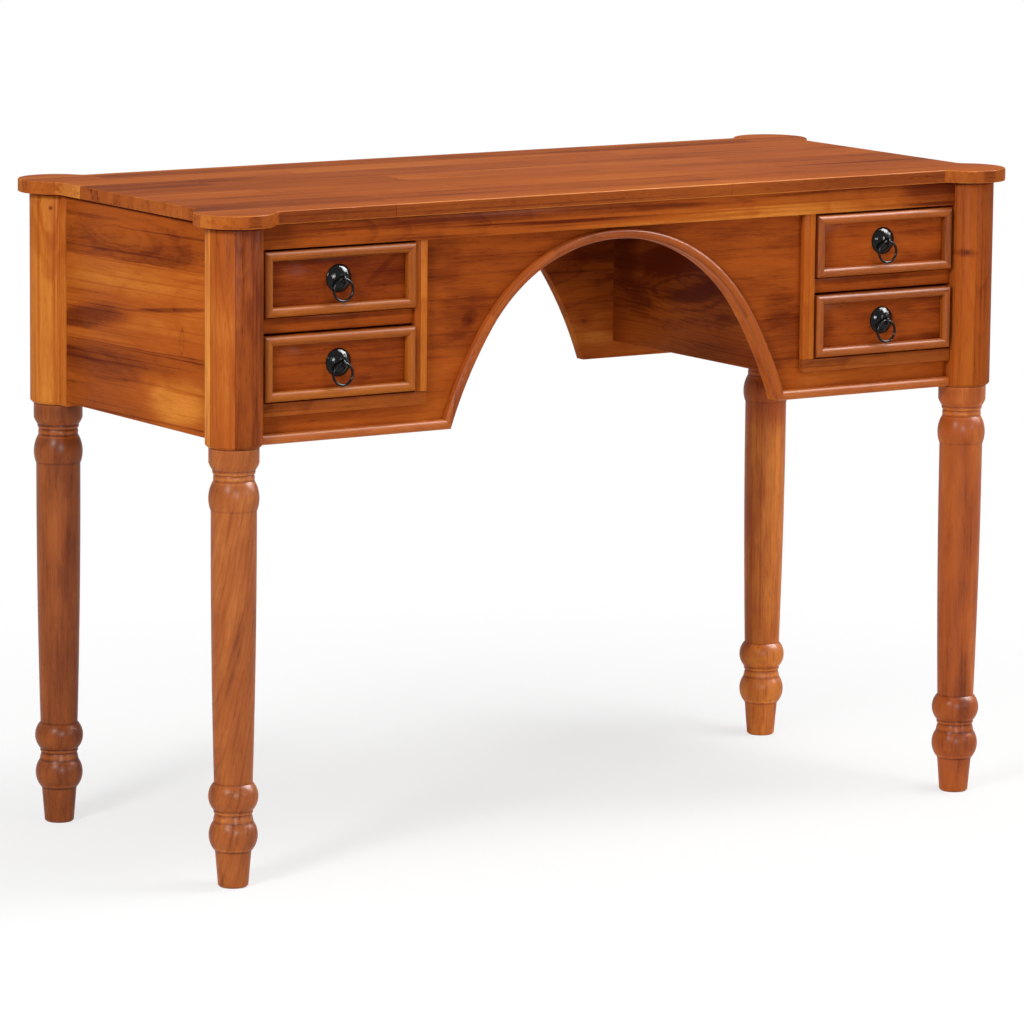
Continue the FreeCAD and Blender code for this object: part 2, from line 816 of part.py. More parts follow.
def make_drawer_front(name, x, z):
    """Front board, housed at the back for the sides, grooved for the bottom and bored for the pull."""
    body = new_body(f"{name}_front_board", (x, field_back, z))
    face = new_sketch(body, "XZ_Plane", "face")
    rectangle(face, (-front_width / 2, 0), (front_width / 2, front_height))
    pad(body, face, sizes.drawer_front_thickness)
    housings = new_sketch(body, "XZ_Plane", "housings")
    for side in SIDES.values():
        ends = span(side, box_inside - sizes.joint_fit, box_half + sizes.joint_fit)
        rectangle(housings, (ends[0], -sizes.cut_overrun),
                  (ends[1], side_height + sizes.joint_fit))
    pocket(body, housings, sizes.housing_depth)
    groove = new_sketch(body, "XZ_Plane", "groove")
    rectangle(groove, (-box_inside, sizes.drawer_bottom_rise),
              (box_inside, sizes.drawer_bottom_rise + sizes.drawer_bottom_thickness + sizes.joint_fit))
    pocket(body, groove, sizes.groove_depth)
    hole = new_sketch(body, "XZ_Plane", "pull_hole")
    circle(hole, (0, front_height / 2 + sizes.pull_rise), sizes.pull_stud_diameter / 2 + sizes.joint_fit)
    cut_through(body, hole)
    is_piece(body, f"{name}_front")


def make_moulding(name, x, z):
    """Rounded frame on the drawer's face, in four strips that meet in mitres at the corners."""
    body = new_body(f"{name}_moulding_frame", (x, field_face, z))
    frame = new_sketch(body, "XZ_Plane", "frame")
    half = front_width / 2
    rectangle(frame, (-half, 0), (half, front_height))
    inner_low = -half + sizes.moulding_width, sizes.moulding_width
    inner_high = half - sizes.moulding_width, front_height - sizes.moulding_width
    rectangle(frame, inner_low, inner_high)
    pad(body, frame, sizes.moulding_height)
    soften(body, "Fillet", sizes.moulding_round, lambda edge: lies_at(edge, "y", -sizes.moulding_height))
    mitres = new_sketch(body, "XZ_Plane", "mitres")
    slack = sizes.moulding_kerf / 2
    past = sizes.cut_overrun
    reach = sizes.moulding_width + past
    for across in SIDES.values():
        for level, up in ((as_size(0), -1), (front_height, 1)):
            outer_x, outer_z = (half + past) * across, level + past * up
            inner_x, inner_z = (half - reach) * across, level - reach * up
            polygon(mitres, [(outer_x - slack, outer_z), (outer_x + slack, outer_z),
                             (inner_x + slack, inner_z), (inner_x - slack, inner_z)])
    cut_through(body, mitres)
    is_piece(body, f"{name}_moulding")


def make_drawer_box(name, x, z):
    """Two grooved sides, a back between them and a thin bottom that slides in under the back."""
    body = new_body(f"{name}_side_pair", (x, 0, z))
    plan = new_sketch(body, "XY_Plane", "plan")
    for side in SIDES.values():
        ends = span(side, box_inside, box_half)
        rectangle(plan, (ends[0], side_start), (ends[1], side_end))
    pad(body, plan, side_height)
    groove = new_sketch(body, "XZ_Plane", "groove")
    groove_half = box_inside + sizes.groove_depth
    groove_top = sizes.drawer_bottom_rise + sizes.drawer_bottom_thickness + sizes.joint_fit
    rectangle(groove, (-groove_half, sizes.drawer_bottom_rise), (groove_half, groove_top))
    cut_through(body, groove)
    is_piece(body, f"{name}_sides")

    back_start = side_end - sizes.drawer_back_thickness
    back = block(f"{name}_back_board", (x - box_inside, back_start, z + groove_top),
                 (x + box_inside, side_end, z + side_height))
    is_piece(back, f"{name}_back")
    bottom_half = groove_half - sizes.joint_fit
    tongue = new_body(f"{name}_bottom_board", (x, 0, z + sizes.drawer_bottom_rise))
    plan = new_sketch(tongue, "XY_Plane", "plan")
    front_edge = field_back - sizes.groove_depth + sizes.joint_fit
    neck = box_inside - sizes.joint_fit
    shoulder = field_back + sizes.joint_fit
    corners = [
        (-neck, front_edge), (neck, front_edge), (neck, shoulder), (bottom_half, shoulder),
        (bottom_half, side_end), (-bottom_half, side_end), (-bottom_half, shoulder), (-neck, shoulder),
    ]
    polygon(plan, corners)
    pad(tongue, plan, sizes.drawer_bottom_thickness)
    is_piece(tongue, f"{name}_bottom")


def make_pull(name, x, z):
    """Domed plate cast with its stud and eye, and the ring that hangs in the eye."""
    centre = z + front_height / 2 + sizes.pull_rise
    body = new_body(f"{name}_dome", (x, field_face, centre))
    profile = new_sketch(body, "XY_Plane", "profile")
    radius = sizes.pull_diameter / 2
    rise = sizes.pull_dome_height - sizes.pull_rim
    ball = (rise * rise + radius * radius) / (rise * 2)
    crown = radius / 2, ball - sizes.pull_dome_height - other_side(ball, radius / 2)
    stud = sizes.pull_stud_diameter / 2
    stud_back = sizes.drawer_front_thickness + sizes.pull_stud_end
    outline(
        profile,
        (0, stud_back),
        ((0, -sizes.pull_dome_height),),
        (crown, (radius, -sizes.pull_rim)),
        ((radius, 0),),
        ((stud, 0),),
        ((stud, stud_back),),
    )
    turn(body, profile)
    eye_y = field_face - sizes.pull_dome_height - sizes.eye_reach
    eye = doc.addObject("Part::Torus", f"{name}_eye")
    eye.Placement.Rotation = FreeCAD.Rotation(FreeCAD.Vector(0, 1, 0), 90)
    bind(eye, "Radius1", sizes.eye_radius)
    bind(eye, "Radius2", sizes.eye_wire / 2)
    put(eye, (x, eye_y, centre))
    pull = doc.addObject("Part::Fuse", f"{name}_pull_plate")
    pull.Base = body
    pull.Tool = eye
    is_piece(pull, f"{name}_pull")

    ring = doc.addObject("Part::Torus", f"{name}_ring_wire")
    ring.Placement.Rotation = FreeCAD.Rotation(FreeCAD.Vector(1, 0, 0), 90)
    swing = (sizes.ring_diameter - sizes.ring_wire) / 2
    bind(ring, "Radius1", swing)
    bind(ring, "Radius2", sizes.ring_wire / 2)
    put(ring, (x, eye_y, centre - swing))
    is_piece(ring, f"{name}_ring")


def make_drawer(bay, side_name):
    """One whole drawer in its bay."""
    name = f"{bay}_{side_name}_drawer"
    x = drawer_x * SIDES[side_name]
    z = bay_bottoms[bay] + sizes.drawer_gap_below
    make_drawer_front(name, x, z)
    make_moulding(name, x, z)
    make_drawer_box(name, x, z)
    make_pull(name, x, z)


# The whole desk

make_top()
for end_name in ENDS:
    for side_name in SIDES:
        make_post(end_name, side_name)
        make_leg(end_name, side_name)
make_bolts()
make_front_panel()
make_arched_panel("back_panel", leg_x - sizes.post_wing, rear_face)
make_strips()
make_beads()
make_kickers()
for side_name in SIDES:
    make_side_panels(side_name)
    make_shelf(side_name)
    make_divider(side_name)
    make_runners(side_name)
    for bay in bay_bottoms:
        make_drawer(bay, side_name)
doc.recompute()

for thing in doc.Objects:
    assert not {"Invalid", "Error"} & set(thing.State), f"{thing.Label} failed: {thing.State}"
for piece in pieces:
    assert not piece.Shape.isNull() and piece.Shape.isValid(), f"{piece.Label} has no valid shape"

os.makedirs("parts", exist_ok=True)
for piece in pieces:
    piece.Shape.exportStep(f"parts/{piece.Label}.step")
    print(f"{piece.Label}: {len(piece.Shape.Solids)} solids, {piece.Shape.Volume:.0f} cubic millimetres")
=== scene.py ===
import bpy
import json
import math
from collections import namedtuple
from mathutils import Matrix, Vector


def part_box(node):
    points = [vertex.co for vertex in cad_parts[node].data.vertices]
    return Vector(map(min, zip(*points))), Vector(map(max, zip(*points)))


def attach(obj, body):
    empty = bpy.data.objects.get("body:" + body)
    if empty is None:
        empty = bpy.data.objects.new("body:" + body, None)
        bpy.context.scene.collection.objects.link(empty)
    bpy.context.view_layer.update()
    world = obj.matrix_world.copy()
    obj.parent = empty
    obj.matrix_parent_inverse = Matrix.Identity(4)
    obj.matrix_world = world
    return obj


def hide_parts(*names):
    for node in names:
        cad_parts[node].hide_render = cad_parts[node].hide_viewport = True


# Writing desk of lacquered solid wood with black iron ring pulls, on a white floor in soft light.
# Metres, in the frame of the construction: the front faces -Y, +Z is up, the floor is at zero.

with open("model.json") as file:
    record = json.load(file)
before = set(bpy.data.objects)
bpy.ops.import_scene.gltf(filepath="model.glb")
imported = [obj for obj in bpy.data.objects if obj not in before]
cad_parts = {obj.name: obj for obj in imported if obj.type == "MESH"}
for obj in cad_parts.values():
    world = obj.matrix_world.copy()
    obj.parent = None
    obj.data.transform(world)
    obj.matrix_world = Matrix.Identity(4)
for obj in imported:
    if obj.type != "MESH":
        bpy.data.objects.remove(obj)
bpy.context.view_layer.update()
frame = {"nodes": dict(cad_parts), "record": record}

SIDES = ("left", "right")
ROWS = ("lower", "upper")
DRAWERS = [f"{row}_{side}_drawer" for row in ROWS for side in SIDES]
WHITE = (1, 1, 1, 1)

# Marks in a board, placed from the middle of the piece along its grain and across it, with turns in degrees.
# A stave starts at a share of the board's width, a patch is a soft oval that lightens or darkens the wood, a
# loop is a growth ring that closes on the face, and a strip is a band of another tone between two thin lines.
Stave = namedtuple("Stave", "start tone seed")
Patch = namedtuple("Patch", "along across half_length half_width turn change")
Loop = namedtuple("Loop", "along across half_length half_width turn darkness")
Knot = namedtuple("Knot", "along across size darkness")
Strip = namedtuple("Strip", "axis start end change")
Line = namedtuple("Line", "axis place half_width darkness")


def tone(red, green, blue):
    """A colour as a paint chart gives it, from 0 to 255, in the linear light that shaders use."""
    linear = []
    for part in (red, green, blue):
        share = part / 255
        linear.append(share / 12.92 if share <= 0.04045 else ((share + 0.055) / 1.055) ** 2.4)
    return (*linear, 1)


# Laying out shader nodes

class Graph:
    """Adds nodes to a material, a world or a node group, and joins each to what feeds it."""

    def __init__(self, tree):
        self.tree = tree

    def node(self, kind, **settings):
        made = self.tree.nodes.new(kind)
        for name, value in settings.items():
            setattr(made, name, value)
        return made

    def feed(self, socket, value):
        if isinstance(value, bpy.types.NodeSocket):
            self.tree.links.new(value, socket)
        elif value is not None:
            socket.default_value = value

    def math(self, operation, *values):
        made = self.node("ShaderNodeMath", operation=operation)
        for socket, value in zip(made.inputs, values):
            self.feed(socket, value)
        return made.outputs[0]

    def add(self, one, other):
        return self.math("ADD", one, other)

    def subtract(self, one, other):
        return self.math("SUBTRACT", one, other)

    def multiply(self, one, other):
        return self.math("MULTIPLY", one, other)

    def divide(self, one, other):
        return self.math("DIVIDE", one, other)

    def absolute(self, value):
        return self.math("ABSOLUTE", value)

    def squares(self, one, other):
        """Sum of two squares."""
        return self.add(self.multiply(one, one), self.multiply(other, other))

    def reach(self, one, other):
        """How far from zero a spot with these two coordinates is."""
        return self.math("SQRT", self.squares(one, other))

    def swing(self, noise, size):
        """Noise that swings to both sides of zero."""
        return self.multiply(self.subtract(noise, 0.5), size)

    def vector(self, operation, one, other):
        made = self.node("ShaderNodeVectorMath", operation=operation)
        self.feed(made.inputs[0], one)
        self.feed(made.inputs[1], other)
        return made.outputs[0]

    def split(self, vector):
        made = self.node("ShaderNodeSeparateXYZ")
        self.feed(made.inputs[0], vector)
        return list(made.outputs)

    def join(self, *parts):
        made = self.node("ShaderNodeCombineXYZ")
        for socket, value in zip(made.inputs, parts):
            self.feed(socket, value)
        return made.outputs[0]

    def place(self):
        """Where a spot of the piece is."""
        return self.node("ShaderNodeTexCoord").outputs["Object"]

    def facing(self):
        """Which way the surface faces at a spot of the piece."""
        return self.node("ShaderNodeTexCoord").outputs["Normal"]

    def noise(self, vector, scale=1.0, detail=2.0, roughness=0.5):
        made = self.node("ShaderNodeTexNoise")
        self.feed(made.inputs["Vector"], vector)
        self.feed(made.inputs["Scale"], scale)
        self.feed(made.inputs["Detail"], detail)
        self.feed(made.inputs["Roughness"], roughness)
        return made.outputs[0]

    def stretched_noise(self, vector, stretch, detail=2.0):
        return self.noise(self.vector("MULTIPLY", vector, stretch), detail=detail)

    def ramp(self, share, stops, interpolation="LINEAR"):
        made = self.node("ShaderNodeValToRGB")
        table = made.color_ramp
        table.interpolation = interpolation
        while len(table.elements) < len(stops):
            table.elements.new(1)
        for element, (place, value) in zip(table.elements, sorted(stops)):
            element.position = place
            element.color = (value, value, value, 1)
        self.feed(made.inputs[0], share)
        return made.outputs[0]

    def mix(self, share, one, other, blend="MIX"):
        made = self.node("ShaderNodeMix", data_type="RGBA", blend_type=blend)
        self.feed(made.inputs[0], share)
        self.feed(made.inputs[6], one)
        self.feed(made.inputs[7], other)
        return made.outputs[2]

    def smooth(self, value, low, high, start=0.0, end=1.0):
        made = self.node("ShaderNodeMapRange", interpolation_type="SMOOTHSTEP")
        for socket, part in zip(made.inputs, (value, low, high, start, end)):
            self.feed(socket, part)
        return made.outputs[0]


def new_group(name, inputs, outputs):
    """An empty node group with its named sockets, and the graph to fill it."""
    tree = bpy.data.node_groups.new(name, "ShaderNodeTree")
    kinds = {"value": "NodeSocketFloat", "colour": "NodeSocketColor", "vector": "NodeSocketVector"}
    for label, (kind, default) in inputs.items():
        socket = tree.interface.new_socket(label, in_out="INPUT", socket_type=kinds[kind])
        if default is not None:
            socket.default_value = default
    for label, kind in outputs.items():
        tree.interface.new_socket(label, in_out="OUTPUT", socket_type=kinds[kind])
    graph = Graph(tree)
    source = graph.node("NodeGroupInput")
    sink = graph.node("NodeGroupOutput")
    return graph, source.outputs, sink.inputs


def place_group(graph, tree_name, values):
    """One use of a node group with its own values."""
    made = graph.node("ShaderNodeGroup", node_tree=bpy.data.node_groups[tree_name])
    for label, value in values.items():
        graph.feed(made.inputs[label], value)
    return made.outputs


def labelled(values):
    """Values under the labels of the sockets that take them, half_width under Half Width."""
    return {name.replace("_", " ").title(): value for name, value in values.items()}


def new_material(name):
    """An empty material and the graph to fill it."""
    material = bpy.data.materials.new(name)
    material.use_nodes = True
    material.node_tree.nodes.clear()
    return material, Graph(material.node_tree)


def lay_surface(graph, shader, height, strength, depth):
    """Gives a shader its relief, and the material that shader as its surface."""
    relief = graph.node("ShaderNodeBump")
    graph.feed(relief.inputs["Strength"], strength)
    graph.feed(relief.inputs["Distance"], depth)
    graph.feed(relief.inputs["Height"], height)
    graph.feed(shader.inputs["Normal"], relief.outputs[0])
    sink = graph.node("ShaderNodeOutputMaterial")
    graph.feed(sink.inputs[0], shader.outputs[0])


# Effects that the timbers share

def make_wood_figure():
    """Growth rings cut by the board's faces, with clouds, dark streaks, fibres and pores along the grain."""
    graph, given, gives = new_group(
        "wood_figure",
        {
            "Board": ("vector", None), "Seed": ("value", 0.0), "Tone": ("value", 0.5),
            "Ring Width": ("value", 0.0045), "Heart Across": ("value", 0.0), "Heart Depth": ("value", 0.1),
            "Taper": ("value", 0.06), "Waviness": ("value", 0.005), "Rings": ("value", 0.1),
            "Clouds": ("value", 0.5), "Fineness": ("value", 1.0), "Streaks": ("value", 0.3),
            "Dark": ("colour", tone(92, 33, 12)), "Middle": ("colour", tone(166, 81, 26)),
            "Light": ("colour", tone(222, 141, 56)), "Tint": ("colour", WHITE),
        },
        {"Colour": "colour", "Roughness": "value", "Height": "value"})
    seed = given["Seed"]
    along, across, depth = graph.split(given["Board"])
    moved = graph.join(graph.multiply(seed, 3.7), seed, graph.multiply(seed, 1.9))
    grown = graph.vector("ADD", given["Board"], moved)
    fine = graph.vector("MULTIPLY", grown, graph.join(*[given["Fineness"]] * 3))

    def field(scale_along, scale_across, shift, detail=2.0, roughness=0.5, board=grown):
        stretched = graph.vector("MULTIPLY", board, (scale_along, scale_across, scale_across))
        shifted = graph.vector("ADD", stretched, (shift, shift, shift))
        return graph.noise(shifted, detail=detail, roughness=roughness)

    # The rings stand round the heart of the tree, which lies beside or behind the board and waves a little
    small_wave = graph.swing(field(22, 55, shift=4.0), 0.004)
    wave_across = graph.swing(field(2.6, 7, shift=1.0), graph.multiply(given["Waviness"], 4.0))
    wave_depth = graph.swing(field(3.1, 6, shift=2.0), graph.multiply(given["Waviness"], 5.0))
    off_across = graph.subtract(across, given["Heart Across"])
    off_across = graph.add(off_across, graph.add(wave_across, small_wave))
    lean = graph.multiply(along, given["Taper"])
    off_depth = graph.subtract(graph.subtract(depth, given["Heart Depth"]), lean)
    off_depth = graph.add(off_depth, graph.add(wave_depth, small_wave))
    year = graph.divide(graph.reach(off_across, off_depth), given["Ring Width"])
    late_wood = graph.ramp(graph.math("FRACT", year), [(0.0, 0.0), (0.55, 0.1), (0.9, 1.0), (1.0, 0.0)])
    odd_years = graph.noise(graph.join(graph.math("FLOOR", year), seed, 0.0), scale=1.7, detail=0.0)
    strength = graph.smooth(odd_years, 0.3, 0.7, 0.25, 1.0)
    rings = graph.multiply(graph.multiply(late_wood, strength), given["Rings"])

    clouds = graph.swing(field(5, 22, shift=7.0, detail=3.0, roughness=0.55, board=fine), given["Clouds"])
    broad = graph.swing(field(1.6, 9, shift=11.0, detail=1.0), given["Clouds"])
    hairlines = graph.smooth(field(2.0, 270, shift=23.0, detail=1.0), 0.55, 0.75, 0.0, 0.5)
    streaks = graph.smooth(field(2.2, 70, shift=13.0, roughness=0.6), 0.55, 0.8)
    streaks = graph.multiply(graph.add(streaks, hairlines), given["Streaks"])
    fibres = field(30, 900, shift=17.0, detail=3.0, roughness=0.65)
    pores = graph.smooth(field(90, 1300, shift=19.0, detail=0.0), 0.66, 0.78)
    shade = graph.add(given["Tone"], graph.add(clouds, broad))
    shade = graph.subtract(shade, graph.add(rings, streaks))
    shade = graph.add(shade, graph.swing(fibres, 0.3))
    shade = graph.subtract(shade, graph.multiply(pores, 0.12))

    lower = graph.mix(graph.smooth(shade, -0.05, 0.55), given["Dark"], given["Middle"])
    upper = graph.mix(graph.smooth(shade, 0.45, 1.05), lower, given["Light"])
    graph.feed(gives["Colour"], graph.mix(1.0, upper, given["Tint"], "MULTIPLY"))
    rough = graph.add(graph.multiply(fibres, 0.16), graph.multiply(pores, 0.12))
    graph.feed(gives["Roughness"], graph.add(rough, 0.28))
    graph.feed(gives["Height"], graph.subtract(graph.multiply(fibres, 0.5), graph.multiply(pores, 0.6)))


def make_knot():
    """A knot: the rings part round it, and its core is dark and ragged."""
    graph, given, gives = new_group(
        "knot",
        {
            "Board": ("vector", None), "Along": ("value", 0.0), "Across": ("value", 0.0),
            "Size": ("value", 0.01), "Darkness": ("value", 0.2),
        },
        {"Board": "vector", "Darkness": "value"})
    along, across, depth = graph.split(given["Board"])
    off_along = graph.divide(graph.subtract(along, given["Along"]), given["Size"])
    from_centre = graph.subtract(across, given["Across"])
    off_across = graph.divide(from_centre, given["Size"])
    far = graph.multiply(graph.squares(graph.multiply(off_along, 0.35), off_across), 0.25)
    swell = graph.math("POWER", graph.add(far, 1.0), -2.0)
    kept = graph.subtract(1.0, graph.multiply(swell, 0.9))
    parted = graph.add(given["Across"], graph.multiply(from_centre, kept))
    graph.feed(gives["Board"], graph.join(along, parted, depth))
    ragged = graph.stretched_noise(given["Board"], (260, 380, 380))
    near = graph.squares(graph.multiply(off_along, math.sqrt(0.6)), off_across)
    core = graph.smooth(graph.add(near, graph.swing(ragged, 0.8)), 1.1, 0.1)
    graph.feed(gives["Darkness"], graph.multiply(core, given["Darkness"]))


OVAL = {
    "Board": ("vector", None), "Along": ("value", 0.0), "Across": ("value", 0.0),
    "Half Length": ("value", 0.1), "Half Width": ("value", 0.01), "Turn": ("value", 0.0),
}


def from_oval(graph, given):
    """How far a spot is from the middle of an oval, squared, as a share of its half length and half width."""
    along, across, _ = graph.split(given["Board"])
    from_along = graph.subtract(along, given["Along"])
    from_across = graph.subtract(across, given["Across"])
    turn = graph.math("RADIANS", given["Turn"])
    cosine, sine = graph.math("COSINE", turn), graph.math("SINE", turn)
    run = graph.add(graph.multiply(from_along, cosine), graph.multiply(from_across, sine))
    rise = graph.subtract(graph.multiply(from_across, cosine), graph.multiply(from_along, sine))
    return graph.squares(graph.divide(run, given["Half Length"]), graph.divide(rise, given["Half Width"]))


def make_soft_patch():
    """A soft oval where the wood is lighter or darker."""
    graph, given, gives = new_group("soft_patch", {**OVAL, "Change": ("value", 0.1)}, {"Change": "value"})
    graph.feed(gives["Change"], graph.smooth(from_oval(graph, given), 0.0, 1.6, given["Change"], 0.0))


def thin_line(graph, value, place, half_width, darkness):
    """How dark a thin line at one place is."""
    gap = graph.absolute(graph.subtract(value, place))
    return graph.smooth(gap, 0.0, half_width, darkness, 0.0)


def make_grain_loop():
    """The dark, wavy line of one growth ring that closes on the face."""
    graph, given, gives = new_group("grain_loop", {**OVAL, "Darkness": ("value", 0.1)}, {"Darkness": "value"})
    waves = graph.stretched_noise(given["Board"], (30, 60, 60))
    reach = graph.add(graph.math("SQRT", from_oval(graph, given)), graph.swing(waves, 0.7))
    graph.feed(gives["Darkness"], thin_line(graph, reach, 1.0, 0.22, given["Darkness"]))


def make_scribed_line():
    """A thin dark line at one place, or a light one where its darkness is below zero."""
    graph, given, gives = new_group(
        "scribed_line",
        {
            "Value": ("value", 0.0), "Place": ("value", 0.0), "Half Width": ("value", 0.001),
            "Darkness": ("value", 0.2),
        },
        {"Darkness": "value"})
    line = thin_line(graph, given["Value"], given["Place"], given["Half Width"], given["Darkness"])
    graph.feed(gives["Darkness"], line)


def make_strip():
    """A band of another tone, with a thin dark line at each of its edges."""
    edge_half_width, edge_darkness = 0.0012, 0.3
    graph, given, gives = new_group(
        "strip",
        {label: ("value", 0.0) for label in ("Value", "Start", "End", "Change")},
        {"Change": "value"})
    past_start = graph.math("GREATER_THAN", given["Value"], given["Start"])
    before_end = graph.math("LESS_THAN", given["Value"], given["End"])
    change = graph.multiply(graph.multiply(past_start, before_end), given["Change"])
    for edge in ("Start", "End"):
        line = thin_line(graph, given["Value"], given[edge], edge_half_width, edge_darkness)
        change = graph.subtract(change, line)
    graph.feed(gives["Change"], change)


def make_worn_edge():
    """How much of an eased edge a spot is, from how far its face turns away from the board's own faces."""
    graph, given, gives = new_group(
        "worn_edge", {"Facing": ("vector", None), "Round Plan": ("value", 0.0)}, {"Wear": "value"})
    x, y, z = graph.split(given["Facing"])
    square = graph.math("MAXIMUM", graph.absolute(x), graph.absolute(y))
    rounded = graph.subtract(graph.reach(x, y), square)
    level = graph.math("MULTIPLY_ADD", rounded, given["Round Plan"], square)
    graph.feed(gives["Wear"], graph.smooth(graph.math("MAXIMUM", graph.absolute(z), level), 0.98, 0.8))


make_wood_figure()
make_knot()
make_soft_patch()
make_grain_loop()
make_scribed_line()
make_strip()
make_worn_edge()


# Timber of each piece

def board_axes(graph, node, order, turn=0.0, roll=0.0):
    """Coordinates in a board, from its middle: along the grain, across it, and into its depth."""
    low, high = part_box(node)
    centred = graph.node("ShaderNodeMapping")
    graph.feed(centred.inputs["Vector"], graph.place())
    graph.feed(centred.inputs["Location"], -(low + high) / 2)
    parts = dict(zip("xyz", graph.split(centred.outputs[0])))
    board = graph.join(*(parts[axis] for axis in order))
    if turn or roll:
        turned = graph.node("ShaderNodeMapping")
        graph.feed(turned.inputs["Vector"], board)
        graph.feed(turned.inputs["Rotation"], (math.radians(roll), 0, math.radians(turn)))
        board = turned.outputs[0]
    return board


def lacquer(graph, wood, gloss, sheen, satin):
    """Satin lacquer over the wood."""
    shader = graph.node("ShaderNodeBsdfPrincipled")
    graph.feed(shader.inputs["Base Color"], wood["Colour"])
    graph.feed(shader.inputs["Roughness"], wood["Roughness"])
    graph.feed(shader.inputs["Specular IOR Level"], sheen)
    graph.feed(shader.inputs["Coat Weight"], gloss)
    graph.feed(shader.inputs["Coat Roughness"], satin)
    lay_surface(graph, shader, wood["Height"], strength=0.12, depth=0.0006)


def one_board(low, high, seed, middle=0.5):
    """Staves for a single board, whose tone changes from one edge up to its middle or another share of it."""
    return [Stave(0.0, low, seed), Stave(middle, high, seed)]


def banded(graph, share, staves, interpolation):
    """Tones that change across a board, and the seed of each of its staves."""
    tones = graph.ramp(share, [(stave.start, stave.tone) for stave in staves], interpolation)
    seeds = graph.ramp(share, [(stave.start, stave.seed) for stave in staves], "CONSTANT")
    return tones, graph.multiply(seeds, 10.0)


def scribed(graph, value, place, half_width, darkness):
    """How dark a scribed line is."""
    values = {"Value": value, "Place": place, "Half Width": half_width, "Darkness": darkness}
    return place_group(graph, "scribed_line", values)["Darkness"]


def glued_seams(graph, share, staves, width):
    """How dark the hairlines between the staves are."""
    seam_half_width, seam_darkness = 0.0009, 0.16
    darkness = 0.0
    for stave in staves[1:]:
        seam = scribed(graph, share, stave.start, seam_half_width / width, seam_darkness)
        darkness = graph.math("MAXIMUM", darkness, seam)
    return darkness


def end_joints(graph, along, length, seed):
    """Boards end to end in a stave: their change of tone, dark where they meet, and their seeds."""
    joint_half_width, joint_darkness, tone_range = 0.0008, 0.2, 0.2
    started = graph.add(graph.divide(along, length), graph.multiply(seed, 0.61))
    number = graph.math("FLOOR", started)
    chance = graph.node("ShaderNodeTexWhiteNoise")
    graph.feed(chance.inputs["Vector"], graph.join(number, seed, 0.0))
    change = graph.swing(chance.outputs["Value"], tone_range)
    from_middle = graph.absolute(graph.subtract(graph.math("FRACT", started), 0.5))
    joint = graph.smooth(from_middle, 0.5 - joint_half_width / length, 0.5, 0.0, joint_darkness)
    return graph.subtract(change, joint), graph.math("MULTIPLY_ADD", number, 1.7, seed)


def edge_grain_and_shade(graph, level, darker):
    """Tone of a level board's edge: painted shade along its length, and end grain in soft blocks at its ends.
    """
    block_width, block_range, end_lightness = 0.017, 0.2, 0.16
    x, y, z = graph.split(graph.facing())
    edge = graph.smooth(graph.absolute(z), 0.6, 0.2)
    shade_along_edge = graph.smooth(graph.absolute(y), 0.97, 0.995, darker * 0.3, darker)
    ends = graph.smooth(graph.absolute(x), 0.2, 0.7)
    chance = graph.node("ShaderNodeTexWhiteNoise", noise_dimensions="1D")
    graph.feed(chance.inputs["W"], graph.math("FLOOR", graph.divide(level, block_width)))
    block = graph.add(graph.swing(chance.outputs["Value"], block_range), end_lightness)
    return graph.multiply(edge, graph.subtract(graph.multiply(ends, block), shade_along_edge))


def make_wood(node, order, staves, joined=True, wander=0.0, length=0.0, knots=(), patches=(), loops=(),
              strips=(), lines=(), worn=0.14, round_plan=False, edge_shade=0.0, turn=0.0, roll=0.0,
              gloss=0.025, satin=0.2, sheen=0.008, **figure):
    """Timber of one piece with its marks. Joined staves meet in a glued seam, and others blend. Where a
    length is given, boards of that length follow each other in each stave."""
    material, graph = new_material(f"{node}_timber")
    board = board_axes(graph, node, order, turn, roll)
    changes, darker = [], []
    for knot in knots:
        parted = place_group(graph, "knot", {"Board": board, **labelled(knot._asdict())})
        board = parted["Board"]
        darker.append(parted["Darkness"])
    low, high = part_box(node)
    width = dict(zip("xyz", high - low))[order[1]]
    along, across, _ = graph.split(board)
    share = graph.add(graph.divide(across, width), 0.5)
    if wander:
        share = graph.add(share, graph.swing(graph.stretched_noise(board, (9, 14, 14)), wander))
    shade, seed = banded(graph, share, staves, "CONSTANT" if joined else "EASE")
    if length:
        change, seed = end_joints(graph, along, length, seed)
        changes.append(change)
    if joined:
        darker.append(glued_seams(graph, share, staves, width))
    for patch in patches:
        placed = place_group(graph, "soft_patch", {"Board": board, **labelled(patch._asdict())})
        changes.append(placed["Change"])
    for loop in loops:
        placed = place_group(graph, "grain_loop", {"Board": board, **labelled(loop._asdict())})
        darker.append(placed["Darkness"])
    own = dict(zip("xyz", graph.split(board_axes(graph, node, "xyz"))))
    for axis, start, end, change in strips:
        values = {"Value": own[axis], "Start": start, "End": end, "Change": change}
        changes.append(place_group(graph, "strip", values)["Change"])
    for axis, place, half_width, darkness in lines:
        darker.append(scribed(graph, own[axis], place, half_width, darkness))
    # Painted shade along a level board's long edges, with its end grain in blocks
    if edge_shade:
        changes.append(edge_grain_and_shade(graph, own["y"], edge_shade))
    if worn:
        edge = place_group(graph, "worn_edge", {"Facing": graph.facing(), "Round Plan": float(round_plan)})
        changes.append(graph.multiply(edge["Wear"], worn))
    for change in changes:
        shade = graph.add(shade, change)
    for darkness in darker:
        shade = graph.subtract(shade, darkness)
    values = {"Board": board, "Seed": seed, "Tone": shade, **labelled(figure)}
    lacquer(graph, place_group(graph, "wood_figure", values), gloss, sheen, satin)
    return material


# Metals

